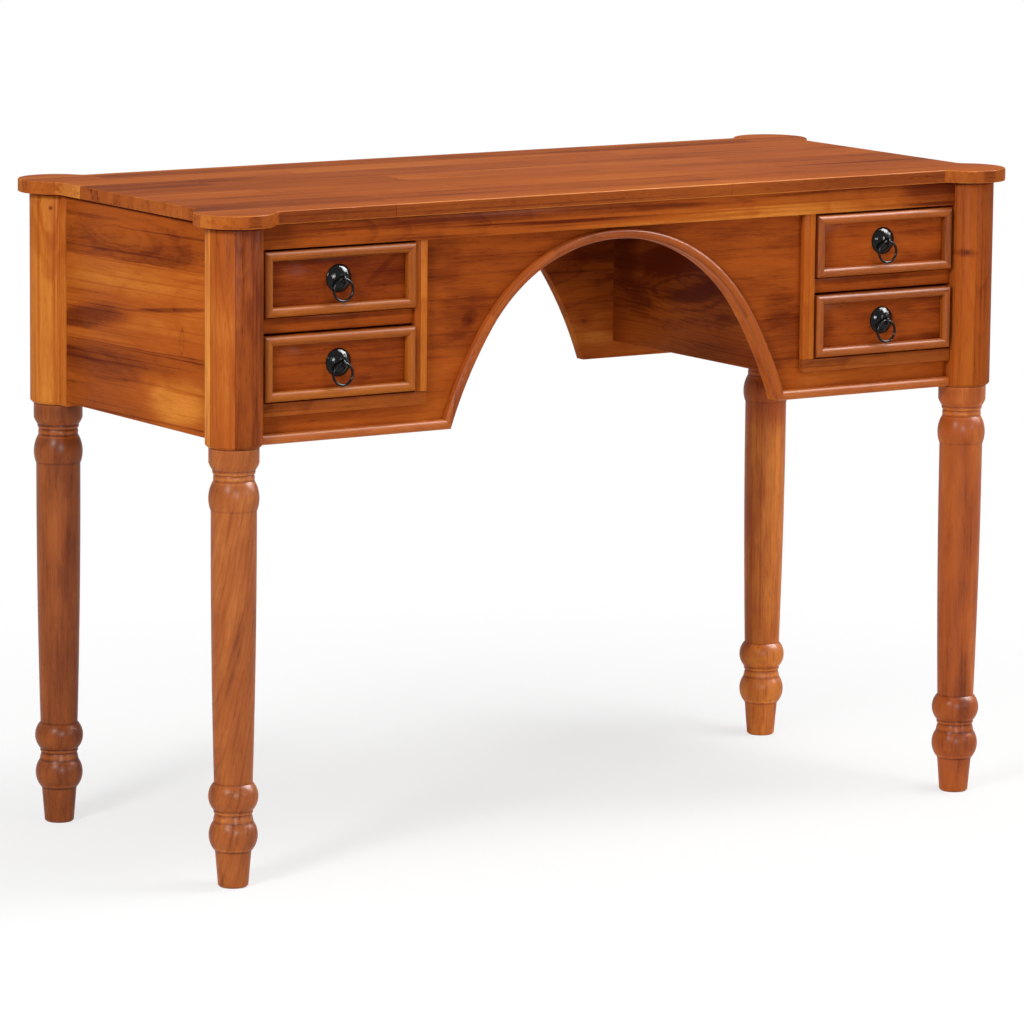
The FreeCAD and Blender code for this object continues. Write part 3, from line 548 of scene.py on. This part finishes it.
def make_iron():
    """Black japanned iron of the ring pulls, glossy with faint casting marks and rubbed high spots."""
    material, graph = new_material("black_iron_japanned")
    place = graph.place()
    lumps = graph.noise(place, scale=260.0)
    specks = graph.noise(place, scale=1900.0)
    rubbed = graph.smooth(lumps, 0.35, 0.75)
    shader = graph.node("ShaderNodeBsdfPrincipled")
    graph.feed(shader.inputs["Base Color"], graph.mix(rubbed, tone(6, 6, 6), tone(14, 13, 12)))
    graph.feed(shader.inputs["Roughness"], graph.add(graph.multiply(lumps, 0.1), 0.03))
    graph.feed(shader.inputs["Specular IOR Level"], 0.18)
    casting = graph.add(lumps, graph.multiply(specks, 0.06))
    lay_surface(graph, shader, casting, strength=0.5, depth=0.0008)
    return material


def make_bolt_steel():
    """Zinc-plated bolts, cloudy grey with fine turning marks round them."""
    material, graph = new_material("zinc_plated_steel")
    place = graph.place()
    clouds = graph.noise(place, scale=160.0, detail=3.0)
    marks = graph.stretched_noise(place, (60, 60, 2400), detail=1.0)
    shader = graph.node("ShaderNodeBsdfPrincipled")
    graph.feed(shader.inputs["Base Color"], graph.mix(clouds, tone(150, 152, 156), tone(190, 191, 192)))
    graph.feed(shader.inputs["Roughness"], graph.add(graph.multiply(marks, 0.2), 0.25))
    graph.feed(shader.inputs["Metallic"], 1.0)
    lay_surface(graph, shader, marks, strength=0.2, depth=0.0002)
    return material


# Pieces with their edges eased

record = frame["record"]
body_of_node = {node: body for body, nodes in record["behaviour"]["bodies"].items() for node in nodes}

SHARP_ANGLE = math.radians(38)
FLAT_ANGLE = math.radians(0.5)
WELD_GAP = 0.000002


def finish_piece(node, material, ease=0.0007, dissolve=True):
    """A copy of a piece with its sharp edges eased and its curves smooth, which stands for it."""
    bpy.ops.object.select_all(action="DESELECT")
    piece = bpy.data.objects.new(f"{node}_finished", frame["nodes"][node].data.copy())
    bpy.context.scene.collection.objects.link(piece)
    piece.data.materials.clear()
    piece.data.materials.append(material)
    bpy.context.view_layer.objects.active = piece
    piece.select_set(True)
    bpy.ops.object.mode_set(mode="EDIT")
    bpy.ops.mesh.select_all(action="SELECT")
    bpy.ops.mesh.remove_doubles(threshold=WELD_GAP)
    if dissolve:
        bpy.ops.mesh.dissolve_limited(angle_limit=FLAT_ANGLE)
    bpy.ops.object.mode_set(mode="OBJECT")
    if piece.data.has_custom_normals:
        bpy.ops.mesh.customdata_custom_splitnormals_clear()
    if ease:
        eased = piece.modifiers.new("eased_edges", "BEVEL")
        eased.width = ease
        eased.segments = 2
        eased.limit_method = "ANGLE"
        eased.angle_limit = SHARP_ANGLE
        eased.use_clamp_overlap = False
        bpy.ops.object.modifier_apply(modifier=eased.name)
    bpy.ops.object.shade_smooth_by_angle(angle=SHARP_ANGLE)
    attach(piece, body_of_node[node])
    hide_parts(node)
    return piece


def finish_top():
    """Top of boards glued edge to edge and end to end, with a border board along the back."""
    staves = [
        Stave(0.0, 0.48, 0.11), Stave(0.13, 0.4, 0.27), Stave(0.25, 0.48, 0.38), Stave(0.36, 0.42, 0.46),
        Stave(0.47, 0.5, 0.55), Stave(0.59, 0.4, 0.63), Stave(0.72, 0.48, 0.74), Stave(0.83, 0.42, 0.82),
        Stave(0.91, 0.52, 0.9),
    ]
    patches = [Patch(-0.45, 0.0, 0.14, 0.3, 0, -0.06), Patch(0.42, 0.0, 0.25, 0.4, 0, -0.05)]
    # The top's long edges carry painted shade
    wood = make_wood("desk_top", "xyz", staves, length=0.46, worn=0.22, round_plan=True, edge_shade=0.24,
                     gloss=0.08, sheen=0.0, patches=patches, rings=0.05, clouds=0.38, streaks=0.3,
                     heart_depth=-0.1, ring_width=0.007, taper=0.02, tint=(0.96, 1.04, 1.3, 1))
    finish_piece("desk_top", wood, ease=0)


def finish_posts():
    """Corner posts glued up from two staves, each with painted shadow along its top, under the desk top."""
    # Painted shadow of the desk top: a dark band along the top of each post
    painted_shadow_under_top = Strip("z", 0.1208, 0.13, -0.5)
    posts = {
        "front_left": {
            "staves": [Stave(0.0, 0.5, 0.1), Stave(0.443, 0.22, 0.22)], "roll": 15.8, "gloss": 0.07,
            # The front left post's pinkish tint is partly painted sheen of its satin lacquer
            "clouds": 0.7, "fineness": 2.0, "tint": (1.0, 1.05, 1.25, 1),
            "patches": [Patch(0.03, 0.012, 0.022, 0.006, 0, -0.12)],
            "strips": [painted_shadow_under_top, Strip("y", -0.008, 0.05, 0.3)],
        },
        "front_right": {
            "staves": [Stave(0.0, 0.46, 0.31), Stave(0.333, 0.35, 0.43)],
            "knots": [Knot(0.0395, -0.02, 0.003, 0.2)],
            "patches": [Patch(0.0385, -0.02, 0.005, 0.011, 6, -0.22)], "strips": [painted_shadow_under_top],
        },
        "back_left": {
            "staves": [Stave(0.0, 0.65, 0.55), Stave(0.55, 0.61, 0.68)], "tint": (1.0, 1.05, 1.12, 1),
            "patches": [Patch(0.1066, -0.027, 0.0025, 0.0018, 0, -0.5)], "rings": 0.05,
            "loops": [Loop(0.13, -0.027, 0.07, 0.008, 0, 0.16), Loop(0.13, -0.026, 0.095, 0.013, 0, 0.1)],
            "strips": [painted_shadow_under_top, Strip("y", -0.05, -0.0252, -0.04)],
        },
        "back_right": {
            "staves": [Stave(0.0, 0.6, 0.75), Stave(0.5, 0.45, 0.85)], "strips": [painted_shadow_under_top],
        },
    }
    alike = {"gloss": 0.05, "satin": 0.35, "clouds": 0.4, "worn": 0}
    for corner, looks in posts.items():
        wood = make_wood(f"{corner}_post", "zxy", **{**alike, **looks})
        finish_piece(f"{corner}_post", wood, ease=0.0008)


def finish_legs():
    """Turned legs: painted shade in their grooves, painted highlights on the edges that catch the light."""
    red = {"dark": tone(92, 38, 16), "middle": tone(160, 85, 36), "light": tone(216, 143, 70)}
    warm = {"dark": tone(98, 40, 15), "middle": tone(168, 82, 30), "light": tone(224, 140, 60)}
    legs = {
        "front_left": {
            "staves": one_board(0.53, 0.53, 0.12), **red, "roll": 33.4, "turn": -11,
            "patches": [
                Patch(0.235, 0.04, 0.02, 0.03, 0, -0.12), Patch(0.1, 0.028, 0.05, 0.007, 0, -0.16),
                Patch(0.14, 0.012, 0.05, 0.005, 0, -0.14), Patch(0.02, 0.0, 0.06, 0.006, 0, -0.16),
                Patch(0.05, -0.014, 0.05, 0.005, 0, 0.1), Patch(-0.12, -0.02, 0.06, 0.008, 0, 0.08),
            ],
            "rings": 0.16, "ring_width": 0.0056, "taper": 0.0, "heart_across": 0.3, "waviness": 0.008,
            "clouds": 0.6,
        },
        "front_right": {
            "staves": [Stave(0.0, 0.52, 0.42), Stave(0.35, 0.46, 0.42), Stave(0.74, 0.64, 0.42)], **warm,
            "patches": [Patch(0.1, 0.005, 0.06, 0.01, 5, -0.15), Patch(-0.15, 0.0, 0.06, 0.012, -5, -0.15)],
        },
        "back_left": {
            "staves": [Stave(0.0, 0.31, 0.66), Stave(0.4, 0.21, 0.66), Stave(0.7, 0.29, 0.66)], **red,
            "patches": [Patch(0.12, -0.01, 0.07, 0.01, 4, 0.1), Patch(-0.1, 0.01, 0.08, 0.01, -4, -0.08)],
            "clouds": 0.5, "streaks": 0.14,
        },
        "back_right": {
            "staves": [Stave(0.0, 0.8, 0.84), Stave(0.35, 0.76, 0.84), Stave(0.7, 0.72, 0.84)], **warm,
            # The dark patch at the top of the back right leg is painted shadow of the desk
            "patches": [Patch(0.225, 0.0, 0.07, 0.06, 0, -0.42)], "tint": (0.99, 0.93, 0.85, 1),
        },
    }
    # Lines round the turning: height above the floor, half width, darkness; below zero, a painted highlight
    # Painted shade in the grooves and on the swells, painted highlights along the edges
    neck_groove_shade = [
        (0.4725, 0.002, 0.26), (0.4675, 0.0013, 0.16), (0.461, 0.0016, 0.14), (0.428, 0.0014, 0.12),
    ]
    neck_highlights = [
        (0.47, 0.0016, -0.16), (0.4642, 0.0024, -0.16), (0.459, 0.0016, -0.14), (0.497, 0.0012, -0.2),
    ]
    foot_groove_shade = [
        (0.1187, 0.0014, 0.14), (0.0877, 0.0018, 0.22), (0.083, 0.0014, 0.18), (0.0747, 0.0018, 0.2),
        (0.0415, 0.0018, 0.24),
    ]
    foot_highlights = [(0.0855, 0.0016, -0.14), (0.0788, 0.003, -0.14), (0.0445, 0.002, -0.14)]
    swell_shade = [(0.452, 0.012, 0.08), (0.11, 0.01, 0.06), (0.066, 0.012, 0.05), (0.49, 0.012, 0.06)]
    turned = neck_groove_shade + neck_highlights + foot_groove_shade + foot_highlights + swell_shade
    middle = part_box("front_left_leg")[1].z / 2
    lines = [Line("z", height - middle, half_width, darkness) for height, half_width, darkness in turned]
    alike = {
        "joined": False, "rings": 0.04, "clouds": 0.75, "fineness": 2.6, "streaks": 0.25, "worn": 0,
        "gloss": 0.32, "satin": 0.33, "sheen": 0.01, "strips": [Strip("z", 0.2482, 0.26, -0.3)],
        "lines": lines,
    }
    for corner, looks in legs.items():
        wood = make_wood(f"{corner}_leg", "zxy", **{**alike, **looks})
        finish_piece(f"{corner}_leg", wood, ease=0, dissolve=False)


def finish_end_panels():
    """Panels of the two ends, each of three boards with their grain lying level."""
    left_boards = [Stave(0.0, 0.44, 0.15), Stave(0.34, 0.61, 0.15), Stave(0.745, 0.35, 0.35)]
    left_patches = [
        Patch(0.11, -0.011, 0.1, 0.014, -5, -0.45), Patch(-0.09, 0.013, 0.1, 0.003, -5, -0.35),
        Patch(0.02, 0.032, 0.16, 0.014, -1, 0.06), Patch(0.1, -0.06, 0.13, 0.02, 0, -0.14),
        Patch(-0.1, -0.09, 0.07, 0.028, -6, 0.34), Patch(-0.04, -0.075, 0.03, 0.014, -4, 0.16),
        Patch(-0.09, 0.075, 0.09, 0.012, -3, -0.14),
    ]
    left_loops = [
        Loop(0.05, 0.09, 0.03, 0.006, 3, 0.08), Loop(0.045, 0.088, 0.055, 0.011, 3, 0.09),
        Loop(0.03, 0.087, 0.085, 0.017, 3, 0.09), Loop(0.01, 0.086, 0.12, 0.025, 3, 0.08),
        Loop(-0.106, -0.021, 0.0045, 0.014, 6, 0.25),
    ]
    # A dark band of painted shadow of the desk top runs along the top of the left end panel
    left = make_wood("left_end_panel", "yzx", left_boards, wander=0.02, turn=1.3, rings=0.05, clouds=0.55,
                     streaks=0.4, heart_depth=0.2, strips=[Strip("z", 0.1178, 0.13, -0.6)],
                     patches=left_patches, loops=left_loops)
    finish_piece("left_end_panel", left, ease=0.001)
    right_boards = [Stave(0.0, 0.42, 0.35), Stave(0.35, 0.3, 0.45), Stave(0.68, 0.52, 0.58)]
    right = make_wood("right_end_panel", "yzx", right_boards, heart_depth=-0.05)
    finish_piece("right_end_panel", right, ease=0.001)


def finish_arched_panels():
    """Arched panels of the front and the back, each with a knot."""
    front_patches = [
        Patch(0.24, 0.02, 0.1, 0.12, 0, -0.04), Patch(-0.24, 0.06, 0.03, 0.05, 0, -0.12),
        Patch(0.24, -0.06, 0.04, 0.06, 0, -0.26), Patch(-0.23, -0.07, 0.05, 0.04, 0, 0.12),
        Patch(-0.205, 0.012, 0.035, 0.03, 20, -0.14), Patch(-0.2, 0.001, 0.012, 0.008, 25, -0.16),
    ]
    front = make_wood("front_panel", "xzy", one_board(0.41, 0.39, 0.24, middle=0.55), joined=False,
                      rings=0.08, streaks=0.16, clouds=0.7, fineness=1.6, patches=front_patches,
                      knots=[Knot(-0.2, -0.0009, 0.0034, 0.16)], tint=(1.0, 0.95, 0.92, 1))
    finish_piece("front_panel", front, ease=0.0006)
    # Near the right knee panel the darker patches are partly figure and partly painted shade of the inner
    # corner
    back_figure_and_corner_shade = [
        Patch(0.3, 0.01, 0.12, 0.022, -3, -0.1), Patch(0.33, 0.07, 0.14, 0.02, 2, -0.08),
        Patch(0.245, -0.1, 0.05, 0.012, 0, 0.1), Patch(0.215, 0.035, 0.06, 0.01, -8, -0.1),
        Patch(0.32, -0.05, 0.09, 0.014, 4, -0.06), Patch(0.229, -0.074, 0.014, 0.009, 0, -0.16),
    ]
    back = make_wood("back_panel", "xzy", one_board(0.44, 0.33, 0.44), joined=False, streaks=0.2, clouds=0.7,
                     fineness=1.8, knots=[Knot(0.229, -0.076, 0.0032, 0.14)], patches=back_figure_and_corner_shade)
    finish_piece("back_panel", back, ease=0.0006)


def finish_knee_panels():
    """Dark, wavy boards on both sides of the knee-hole."""
    # The first patch, a tall dark band beside the back panel, is painted shade of the inner corner
    patches = [
        Patch(0.17, 0.03, 0.03, 0.07, 0, -0.25), Patch(0.08, 0.0, 0.08, 0.018, -10, -0.3),
        Patch(0.0, -0.03, 0.07, 0.012, -14, -0.25), Patch(0.06, -0.06, 0.06, 0.01, -6, 0.12),
    ]
    loops = [
        Loop(0.05, -0.03, 0.06, 0.012, -12, 0.14), Loop(0.03, -0.032, 0.11, 0.024, -10, 0.14),
        Loop(0.0, -0.03, 0.16, 0.04, -8, 0.12),
    ]
    seeds = {"left": 0.62, "right": 0.77}
    for side in SIDES:
        wood = make_wood(f"{side}_knee_panel", "yzx", one_board(0.3, 0.3, seeds[side]), joined=False,
                         waviness=0.015, heart_depth=0.03, rings=0.12, streaks=0.2, patches=patches,
                         loops=loops)
        finish_piece(f"{side}_knee_panel", wood)


def finish_rails():
    """Rails, stiles and dividers round the drawers."""
    # The rail's staves darken towards its top with painted shadow of the desk top's overhang
    rail_staves_shaded_at_top = [Stave(0.0, 0.6, 0.1), Stave(0.5, 0.47, 0.1), Stave(0.62, 0.31, 0.1)]
    # The dark patch at the rail's right end is painted shadow of the desk top's ear
    rail_patches_with_ear_shadow = [
        Patch(0.45, 0.0, 0.05, 0.03, 0, -0.3), Patch(-0.3, 0.0, 0.3, 0.05, 0, -0.1),
        Patch(0.28, 0.0, 0.25, 0.05, 0, 0.22),
    ]
    rail = make_wood("top_rail", "xzy", rail_staves_shaded_at_top, joined=False, streaks=0.45, patches=rail_patches_with_ear_shadow)
    finish_piece("top_rail", rail, ease=0.0012)
    stile_staves = {
        "left": [Stave(0.0, 0.36, 0.2), Stave(0.42, 0.68, 0.3)],
        "right": [Stave(0.0, 0.5, 0.4), Stave(0.5, 0.61, 0.5)],
    }
    for side in SIDES:
        stile = make_wood(f"{side}_stile", "zxy", stile_staves[side], clouds=0.3)
        finish_piece(f"{side}_stile", stile, ease=0.001)
        lower = make_wood(f"{side}_lower_rail", "xzy", one_board(0.48, 0.41, 0.6), joined=False, clouds=0.4,
                          streaks=0.35, tint=(0.92, 1.02, 1.3, 1))
        finish_piece(f"{side}_lower_rail", lower, ease=0.001)
        divider = make_wood(f"{side}_drawer_divider", "xzy", one_board(0.44, 0.48, 0.7), joined=False,
                            clouds=0.4, tint=(1.0, 0.93, 0.92, 1))
        finish_piece(f"{side}_drawer_divider", divider, ease=0.0008)


def finish_beads():
    """Rounded beads; the grain of the arched one follows its curve, from segment to segment."""
    for side in SIDES:
        wood = make_wood(f"{side}_bottom_bead", "xzy", one_board(0.6, 0.56, 0.3), joined=False, clouds=0.35,
                         worn=0, gloss=0.22, satin=0.42, sheen=0.03, tint=(1.0, 1.05, 1.2, 1))
        finish_piece(f"{side}_bottom_bead", wood, ease=0)
    hub_height = 0.495
    segments = [
        Stave(0.0, 0.47, 0.1), Stave(0.2, 0.4, 0.3), Stave(0.36, 0.3, 0.5), Stave(0.6, 0.36, 0.7),
        Stave(0.83, 0.44, 0.9),
    ]
    material, graph = new_material("arch_bead_timber")
    crown_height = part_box("arch_bead")[1].z
    x, y, z = graph.split(graph.place())
    up = graph.subtract(z, hub_height)
    angle = graph.math("ARCTAN2", x, up)
    board = graph.join(graph.multiply(angle, crown_height - hub_height), graph.reach(x, up), y)
    turn_share = graph.add(graph.divide(angle, math.pi), 0.5)
    shade, seed = banded(graph, turn_share, segments, "CONSTANT")
    wood = place_group(graph, "wood_figure", {
        "Board": board, "Seed": seed, "Tone": shade, "Rings": 0.08, "Clouds": 0.4, "Heart Across": 0.1,
        "Tint": (1.0, 1.05, 1.3, 1),
    })
    lacquer(graph, wood, gloss=0.14, sheen=0.02, satin=0.3)
    finish_piece("arch_bead", material, ease=0)


# Drawers and what is inside the pedestals

PAINTED_GAP_SHADE = {"half_width": 0.0009, "darkness": 0.4}  # painted shade of the gap round a drawer: a dark line down each end of its front
BARE_WOOD = {
    "joined": False, "gloss": 0.0, "rings": 0.25, "clouds": 0.3, "streaks": 0.2,
    "dark": tone(150, 108, 66), "middle": tone(192, 148, 98), "light": tone(222, 184, 132),
}


def moulding_wood(node, shade, seed, tint, gloss):
    """Timber of a drawer's moulding: each of the four strips has its grain along it, as its mitres show."""
    material, graph = new_material(f"{node}_timber")
    low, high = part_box(node)
    half = (high - low) / 2
    across, depth, up = graph.split(board_axes(graph, node, "xyz"))
    past_mitre = graph.subtract(graph.absolute(across), half.x - half.z)
    upright = graph.math("GREATER_THAN", past_mitre, graph.absolute(up))
    choice = graph.node("ShaderNodeMix", data_type="VECTOR")
    graph.feed(choice.inputs[0], upright)
    graph.feed(choice.inputs[4], graph.join(across, up, depth))
    graph.feed(choice.inputs[5], graph.join(up, across, depth))
    above = graph.math("GREATER_THAN", up, 0.0)
    beside = graph.math("GREATER_THAN", across, 0.0)
    # The strips are numbered 0 below, 1 above, 2 left and 3 right
    number = graph.math("MULTIPLY_ADD", upright, graph.add(graph.subtract(beside, above), 2.0), above)
    seeds = graph.add(graph.multiply(number, 1.3), seed)
    step = graph.swing(graph.math("FRACT", graph.multiply(seeds, 2.7)), 0.16)
    # Painted shade of the gap beside the drawer, down both ends of the moulding
    gap_shade = scribed(graph, graph.absolute(across), half.x, **PAINTED_GAP_SHADE)
    wood = place_group(graph, "wood_figure", {
        "Board": choice.outputs[1], "Seed": seeds, "Tone": graph.subtract(graph.add(step, shade), gap_shade),
        "Rings": 0.08, "Clouds": 0.35, "Streaks": 0.3, "Tint": tint,
    })
    lacquer(graph, wood, gloss, sheen=0.02, satin=0.42)
    return material


def finish_drawers(iron):
    """Drawer fronts with their mouldings and ring pulls, and the plain boxes behind them."""
    field_staves = {
        "upper_left_drawer": one_board(0.24, 0.2, 0.2), "lower_left_drawer": one_board(0.34, 0.28, 0.4),
        "upper_right_drawer": one_board(0.39, 0.33, 0.6), "lower_right_drawer": one_board(0.25, 0.31, 0.8),
    }
    field_clouds = {"left": 0.55, "right": 0.85}
    field_patches = {"upper_left_drawer": [Patch(0.06, 0.012, 0.03, 0.004, 38, -0.1)]}
    mouldings = {
        "left": {"shade": 0.47, "tint": (0.92, 1.06, 0.8, 1), "gloss": 0.16},
        "right": {"shade": 0.36, "tint": (0.99, 1.08, 0.82, 1), "gloss": 0.28},
    }
    for number, name in enumerate(DRAWERS):
        side = name.split("_")[1]
        low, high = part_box(f"{name}_front")
        half_width = (high.x - low.x) / 2
        # Painted shade of the gap beside the drawer, down both ends of its front
        ends = [Line("x", place, **PAINTED_GAP_SHADE) for place in (-half_width, half_width)]
        field = make_wood(f"{name}_front", "xzy", field_staves[name], joined=False, waviness=0.008,
                          rings=0.06, streaks=0.18, fineness=2.2, clouds=field_clouds[side],
                          tint=(1.0, 0.9, 0.9, 1), patches=field_patches.get(name, ()), lines=ends)
        finish_piece(f"{name}_front", field, ease=0.0004)
        moulding = moulding_wood(f"{name}_moulding", seed=0.3 + 0.7 * number, **mouldings[side])
        finish_piece(f"{name}_moulding", moulding, ease=0)
        for part, order in (("sides", "yzx"), ("back", "xzy"), ("bottom", "xyz")):
            staves = [Stave(0.0, 0.5, 0.1 * number), Stave(0.5, 0.55, 0.5)]
            wood = make_wood(f"{name}_{part}", order, staves, **BARE_WOOD)
            finish_piece(f"{name}_{part}", wood, ease=0.0006)
        finish_piece(f"{name}_pull", iron, ease=0, dissolve=False)
        finish_piece(f"{name}_ring", iron, ease=0, dissolve=False)


def finish_insides(steel):
    """Plain planed boards and battens inside the pedestals, and the bolts of the legs."""
    nodes = ["drawer_kickers"]
    nodes += [f"{side}_pedestal_bottom" for side in SIDES]
    nodes += [f"{side}_drawer_runners" for side in SIDES]
    for number, node in enumerate(nodes):
        wood = make_wood(node, "yxz", one_board(0.5, 0.45, 0.15 * number), **BARE_WOOD)
        finish_piece(node, wood, ease=0.0006)
    finish_piece("leg_bolts", steel, ease=0.0005)


# Floor, light and camera

def seen_directly(graph):
    """One where the surroundings are seen themselves or in a gloss, and zero where they only give light."""
    path = graph.node("ShaderNodeLightPath")
    seen = graph.math("MAXIMUM", path.outputs["Is Camera Ray"], path.outputs["Is Glossy Ray"])
    return graph.math("MAXIMUM", seen, path.outputs["Is Transmission Ray"])


def make_floor():
    """Plain white floor that keeps a soft shadow near the desk."""
    floor_size, shadow_near, shadow_far, white_near = 60, 0.3, 1.5, 0.65
    bpy.ops.object.select_all(action="DESELECT")
    bpy.ops.mesh.primitive_plane_add(size=floor_size)
    floor = bpy.context.active_object
    floor.name = "studio_floor"
    material, graph = new_material("white_floor")
    matt = graph.node("ShaderNodeBsdfDiffuse")
    graph.feed(matt.inputs["Color"], (0.9, 0.9, 0.9, 1))
    glow = graph.node("ShaderNodeEmission")
    graph.feed(glow.inputs["Strength"], 1.0)
    x, y, _ = graph.split(graph.place())
    white = graph.smooth(graph.reach(x, y), shadow_near, shadow_far, white_near, 1.0)
    blend = graph.node("ShaderNodeMixShader")
    graph.feed(blend.inputs[0], graph.multiply(seen_directly(graph), white))
    graph.feed(blend.inputs[1], matt.outputs[0])
    graph.feed(blend.inputs[2], glow.outputs[0])
    sink = graph.node("ShaderNodeOutputMaterial")
    graph.feed(sink.inputs[0], blend.outputs[0])
    floor.data.materials.append(material)


def make_world():
    """White surroundings, seen as white, that light the desk softly."""
    room_light, seen_light = 0.45, 1.0
    world = bpy.data.worlds.new("white_room")
    world.use_nodes = True
    world.node_tree.nodes.clear()
    graph = Graph(world.node_tree)
    glow = graph.node("ShaderNodeBackground")
    strength = graph.math("MULTIPLY_ADD", seen_directly(graph), seen_light - room_light, room_light)
    graph.feed(glow.inputs["Strength"], strength)
    sink = graph.node("ShaderNodeOutputWorld")
    graph.feed(sink.inputs[0], glow.outputs[0])
    bpy.context.scene.world = world


def make_lamp(name, place, size, power, highlights_only=False):
    """Soft lamp that faces the middle of the desk, or one that only shows in its gloss."""
    middle = Vector((0, 0, 0.45))
    lamp = bpy.data.objects.new(name, bpy.data.lights.new(name, "AREA"))
    lamp.data.shape = "SQUARE"
    lamp.data.size = size
    lamp.data.energy = power
    lamp.visible_diffuse = not highlights_only
    bpy.context.scene.collection.objects.link(lamp)
    lamp.location = place
    lamp.rotation_euler = (middle - lamp.location).to_track_quat("-Z", "Y").to_euler()


def make_camera():
    """Camera at the angle of the photograph, in front to the left and a little above."""
    place = Vector((-3.7847, -5.7390, 1.4776))
    azimuth, elevation, roll = math.radians(-33.363), math.radians(9.274), math.radians(0.555)
    focal_length, sensor_width = 206.2, 36
    level = math.cos(elevation)
    back = Vector((math.sin(azimuth) * level, -math.cos(azimuth) * level, math.sin(elevation)))
    right = Vector((math.cos(azimuth), math.sin(azimuth), 0))
    up = back.cross(right)
    rolled_right = right * math.cos(roll) + up * math.sin(roll)
    rolled_up = up * math.cos(roll) - right * math.sin(roll)
    camera = bpy.data.objects.new("desk_camera", bpy.data.cameras.new("desk_camera"))
    camera.data.sensor_width = sensor_width
    camera.data.lens = focal_length
    camera.data.clip_end = 100
    facing = Matrix((rolled_right, rolled_up, back)).transposed().to_4x4()
    camera.matrix_world = Matrix.Translation(place) @ facing
    bpy.context.scene.collection.objects.link(camera)
    bpy.context.scene.camera = camera


finish_top()
finish_posts()
finish_legs()
finish_end_panels()
finish_arched_panels()
finish_knee_panels()
finish_rails()
finish_beads()
finish_drawers(make_iron())
finish_insides(make_bolt_steel())
make_floor()
make_world()
make_lamp("overhead_lamp", place=(0.9, -0.6, 3.1), size=1.2, power=55)
make_lamp("left_lamp", place=(-3.3, -1.7, 2.3), size=0.8, power=88)
make_lamp("right_front_lamp", place=(1.75, -4.0, 1.45), size=0.5, power=33)
make_lamp("front_soft_box", place=(-1.82, -4.5, 1.5), size=0.9, power=100, highlights_only=True)
make_lamp("right_soft_box", place=(3.3, -1.1, 1.8), size=0.8, power=40, highlights_only=True)
make_lamp("top_soft_box", place=(2.35, -0.9, 3.0), size=2.2, power=600, highlights_only=True)
make_camera()
bpy.context.scene.view_settings.view_transform = "Standard"
